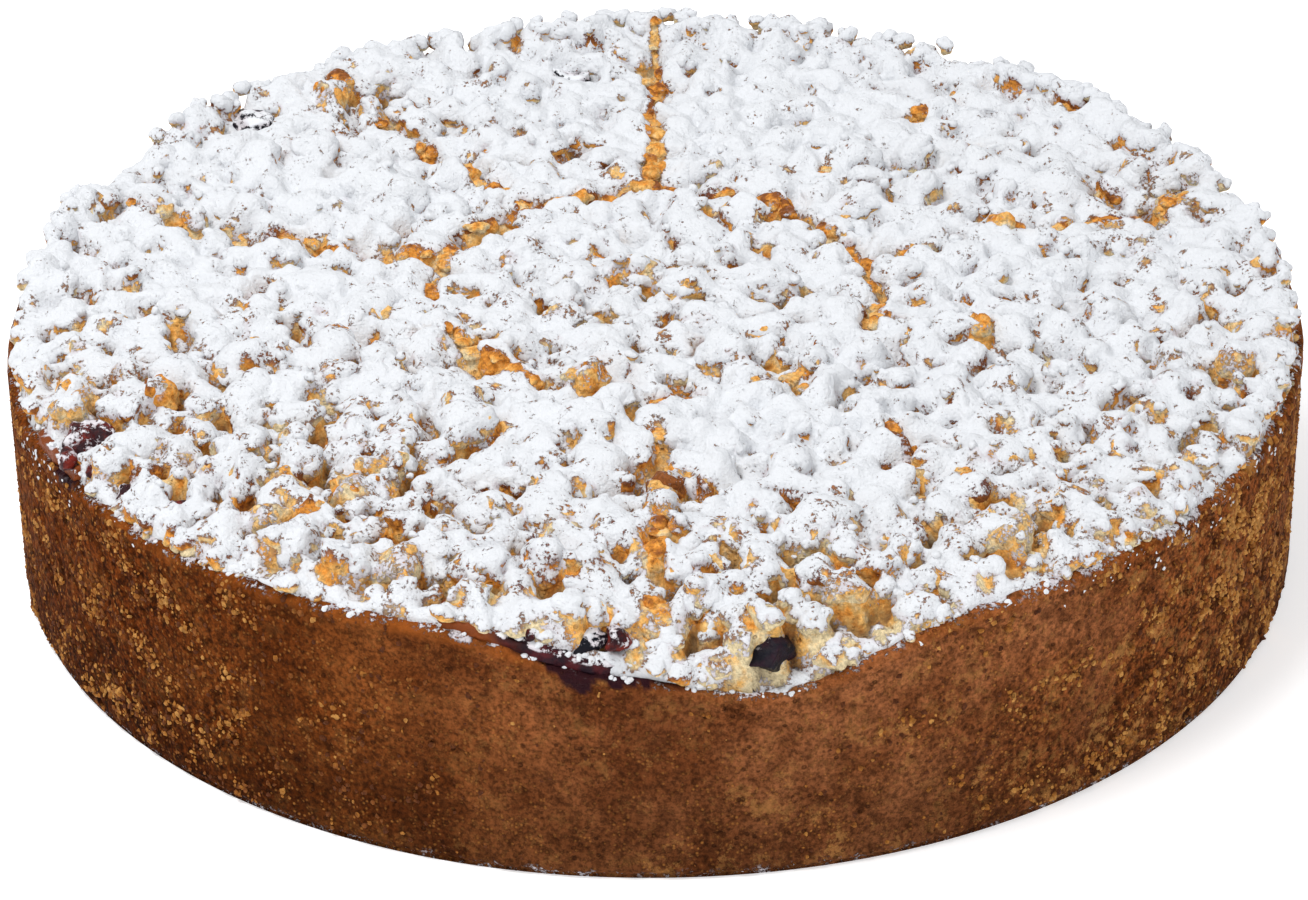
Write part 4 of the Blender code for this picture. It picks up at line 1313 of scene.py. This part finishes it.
def makeJam():  # a copy of the fruit layer, with a rough edge where it has boiled over the rim
    source = frame["nodes"]["fruit_layer"]
    piece = source.copy()
    piece.data = source.data.copy()
    piece.name = "fruit_jam"
    bpy.context.scene.collection.objects.link(piece)
    choose(piece)
    bpy.ops.object.parent_clear(type="CLEAR_KEEP_TRANSFORM")
    bpy.ops.object.transform_apply(location=True, rotation=True, scale=True)
    bpy.ops.object.mode_set(mode="EDIT")
    bpy.ops.mesh.select_all(action="SELECT")
    bpy.ops.mesh.remove_doubles(threshold=1e-5)
    bpy.ops.mesh.select_mode(type="FACE")
    bpy.ops.mesh.select_all(action="DESELECT")
    bpy.ops.object.mode_set(mode="OBJECT")
    for face in piece.data.polygons:
        face.select = math.hypot(*face.center[:2]) > 128 * mm
    bpy.ops.object.mode_set(mode="EDIT")
    bpy.ops.mesh.subdivide(number_cuts=8)
    bpy.ops.object.mode_set(mode="OBJECT")
    points = readPoints(piece)
    x, y = points[:, 0], points[:, 1]
    outer = smoothStep(133 * mm, 136 * mm, np.hypot(x, y))
    swell = 0.5 * mm * roughness(points, 2.4 * mm, 81.0) + 0.3 * mm * roughness(points, 1.1 * mm, 83.0)
    points[:, :2] *= (1 + (swell - 0.3 * mm) * outer / np.maximum(np.hypot(x, y), mm))[:, None]
    points[:, 2] += outer * (swell - 0.2 * mm)
    writePoints(piece, points)
    bpy.ops.object.shade_smooth_by_angle(angle=math.radians(60))
    patchyHere = roughness(points, 3 * mm, 85.0)
    over = smoothStep(1.2 * mm, 2.6 * mm, points[:, 2] - rimHeight(x, y))
    glaze = smoothStep(-101, -104, directionOf(x, y) + 1.5 * patchyHere)
    addValues(piece, sugar=np.clip(over * (0.4 + 1.1 * patchyHere), 0, 0.8), glaze=glaze)
    return dress(piece, jamMaterial, "dark_fruit", "fruit_layer")


makeJam()
print("fruit made")


# Floor, light and camera

studio = {
    "floor": (0.93, 0.93, 0.93, 1),
    "floorGlow": 0.37,
    "air": (0.97, 0.98, 1.0, 1),
    "airStrength": 0.62,
    "aim": (0, 0, 0.03),
    "lights": {
        "overhead": {"place": (-0.42, -0.2, 1.2), "size": 0.6, "power": 11.0},
        "front": {"place": (0.5, -1.3, 0.8), "size": 1.3, "power": 5.0},
    },
    "lens": 120.76,
    "eye": (-0.0004, -0.8421, 0.4936),
    "down": 0.5144,  # how far the camera looks down, and its roll, in radians
    "roll": -0.0083,
}


def makeStudio():
    deselectAll()
    bpy.ops.mesh.primitive_plane_add(size=8, location=(0, 0, 0))
    floor = bpy.context.object
    floor.name = "floor"
    material, _, shader, _ = newMaterial("paleFloor", 0.9, 0.0)
    shader.inputs["Base Color"].default_value = studio["floor"]
    shader.inputs["Emission Color"].default_value = (1, 1, 1, 1)
    shader.inputs["Emission Strength"].default_value = studio["floorGlow"]
    floor.data.materials.append(material)

    world = bpy.data.worlds.new("studio")
    bpy.context.scene.world = world
    world.use_nodes = True
    air = world.node_tree.nodes["Background"]
    air.inputs["Color"].default_value = studio["air"]
    air.inputs["Strength"].default_value = studio["airStrength"]

    for name, light in studio["lights"].items():
        made = bpy.data.lights.new(name, "AREA")
        made.shape = "DISK"
        made.size = light["size"]
        made.energy = light["power"]
        lamp = bpy.data.objects.new(name, made)
        lamp.location = light["place"]
        aim = Vector(studio["aim"]) - Vector(light["place"])
        lamp.rotation_euler = aim.to_track_quat("-Z", "Y").to_euler()
        bpy.context.scene.collection.objects.link(lamp)

    camera = bpy.data.cameras.new("camera")
    camera.lens = studio["lens"]
    camera.sensor_width = 36
    camera.clip_end = 30
    eye = bpy.data.objects.new("camera", camera)
    bpy.context.scene.collection.objects.link(eye)
    tilt = Matrix.Rotation(math.pi / 2 - studio["down"], 4, "X")
    eye.matrix_world = Matrix.Translation(studio["eye"]) @ tilt @ Matrix.Rotation(studio["roll"], 4, "Z")
    bpy.context.scene.camera = eye
    bpy.context.scene.view_settings.view_transform = "Standard"


makeStudio()
print("studio made")
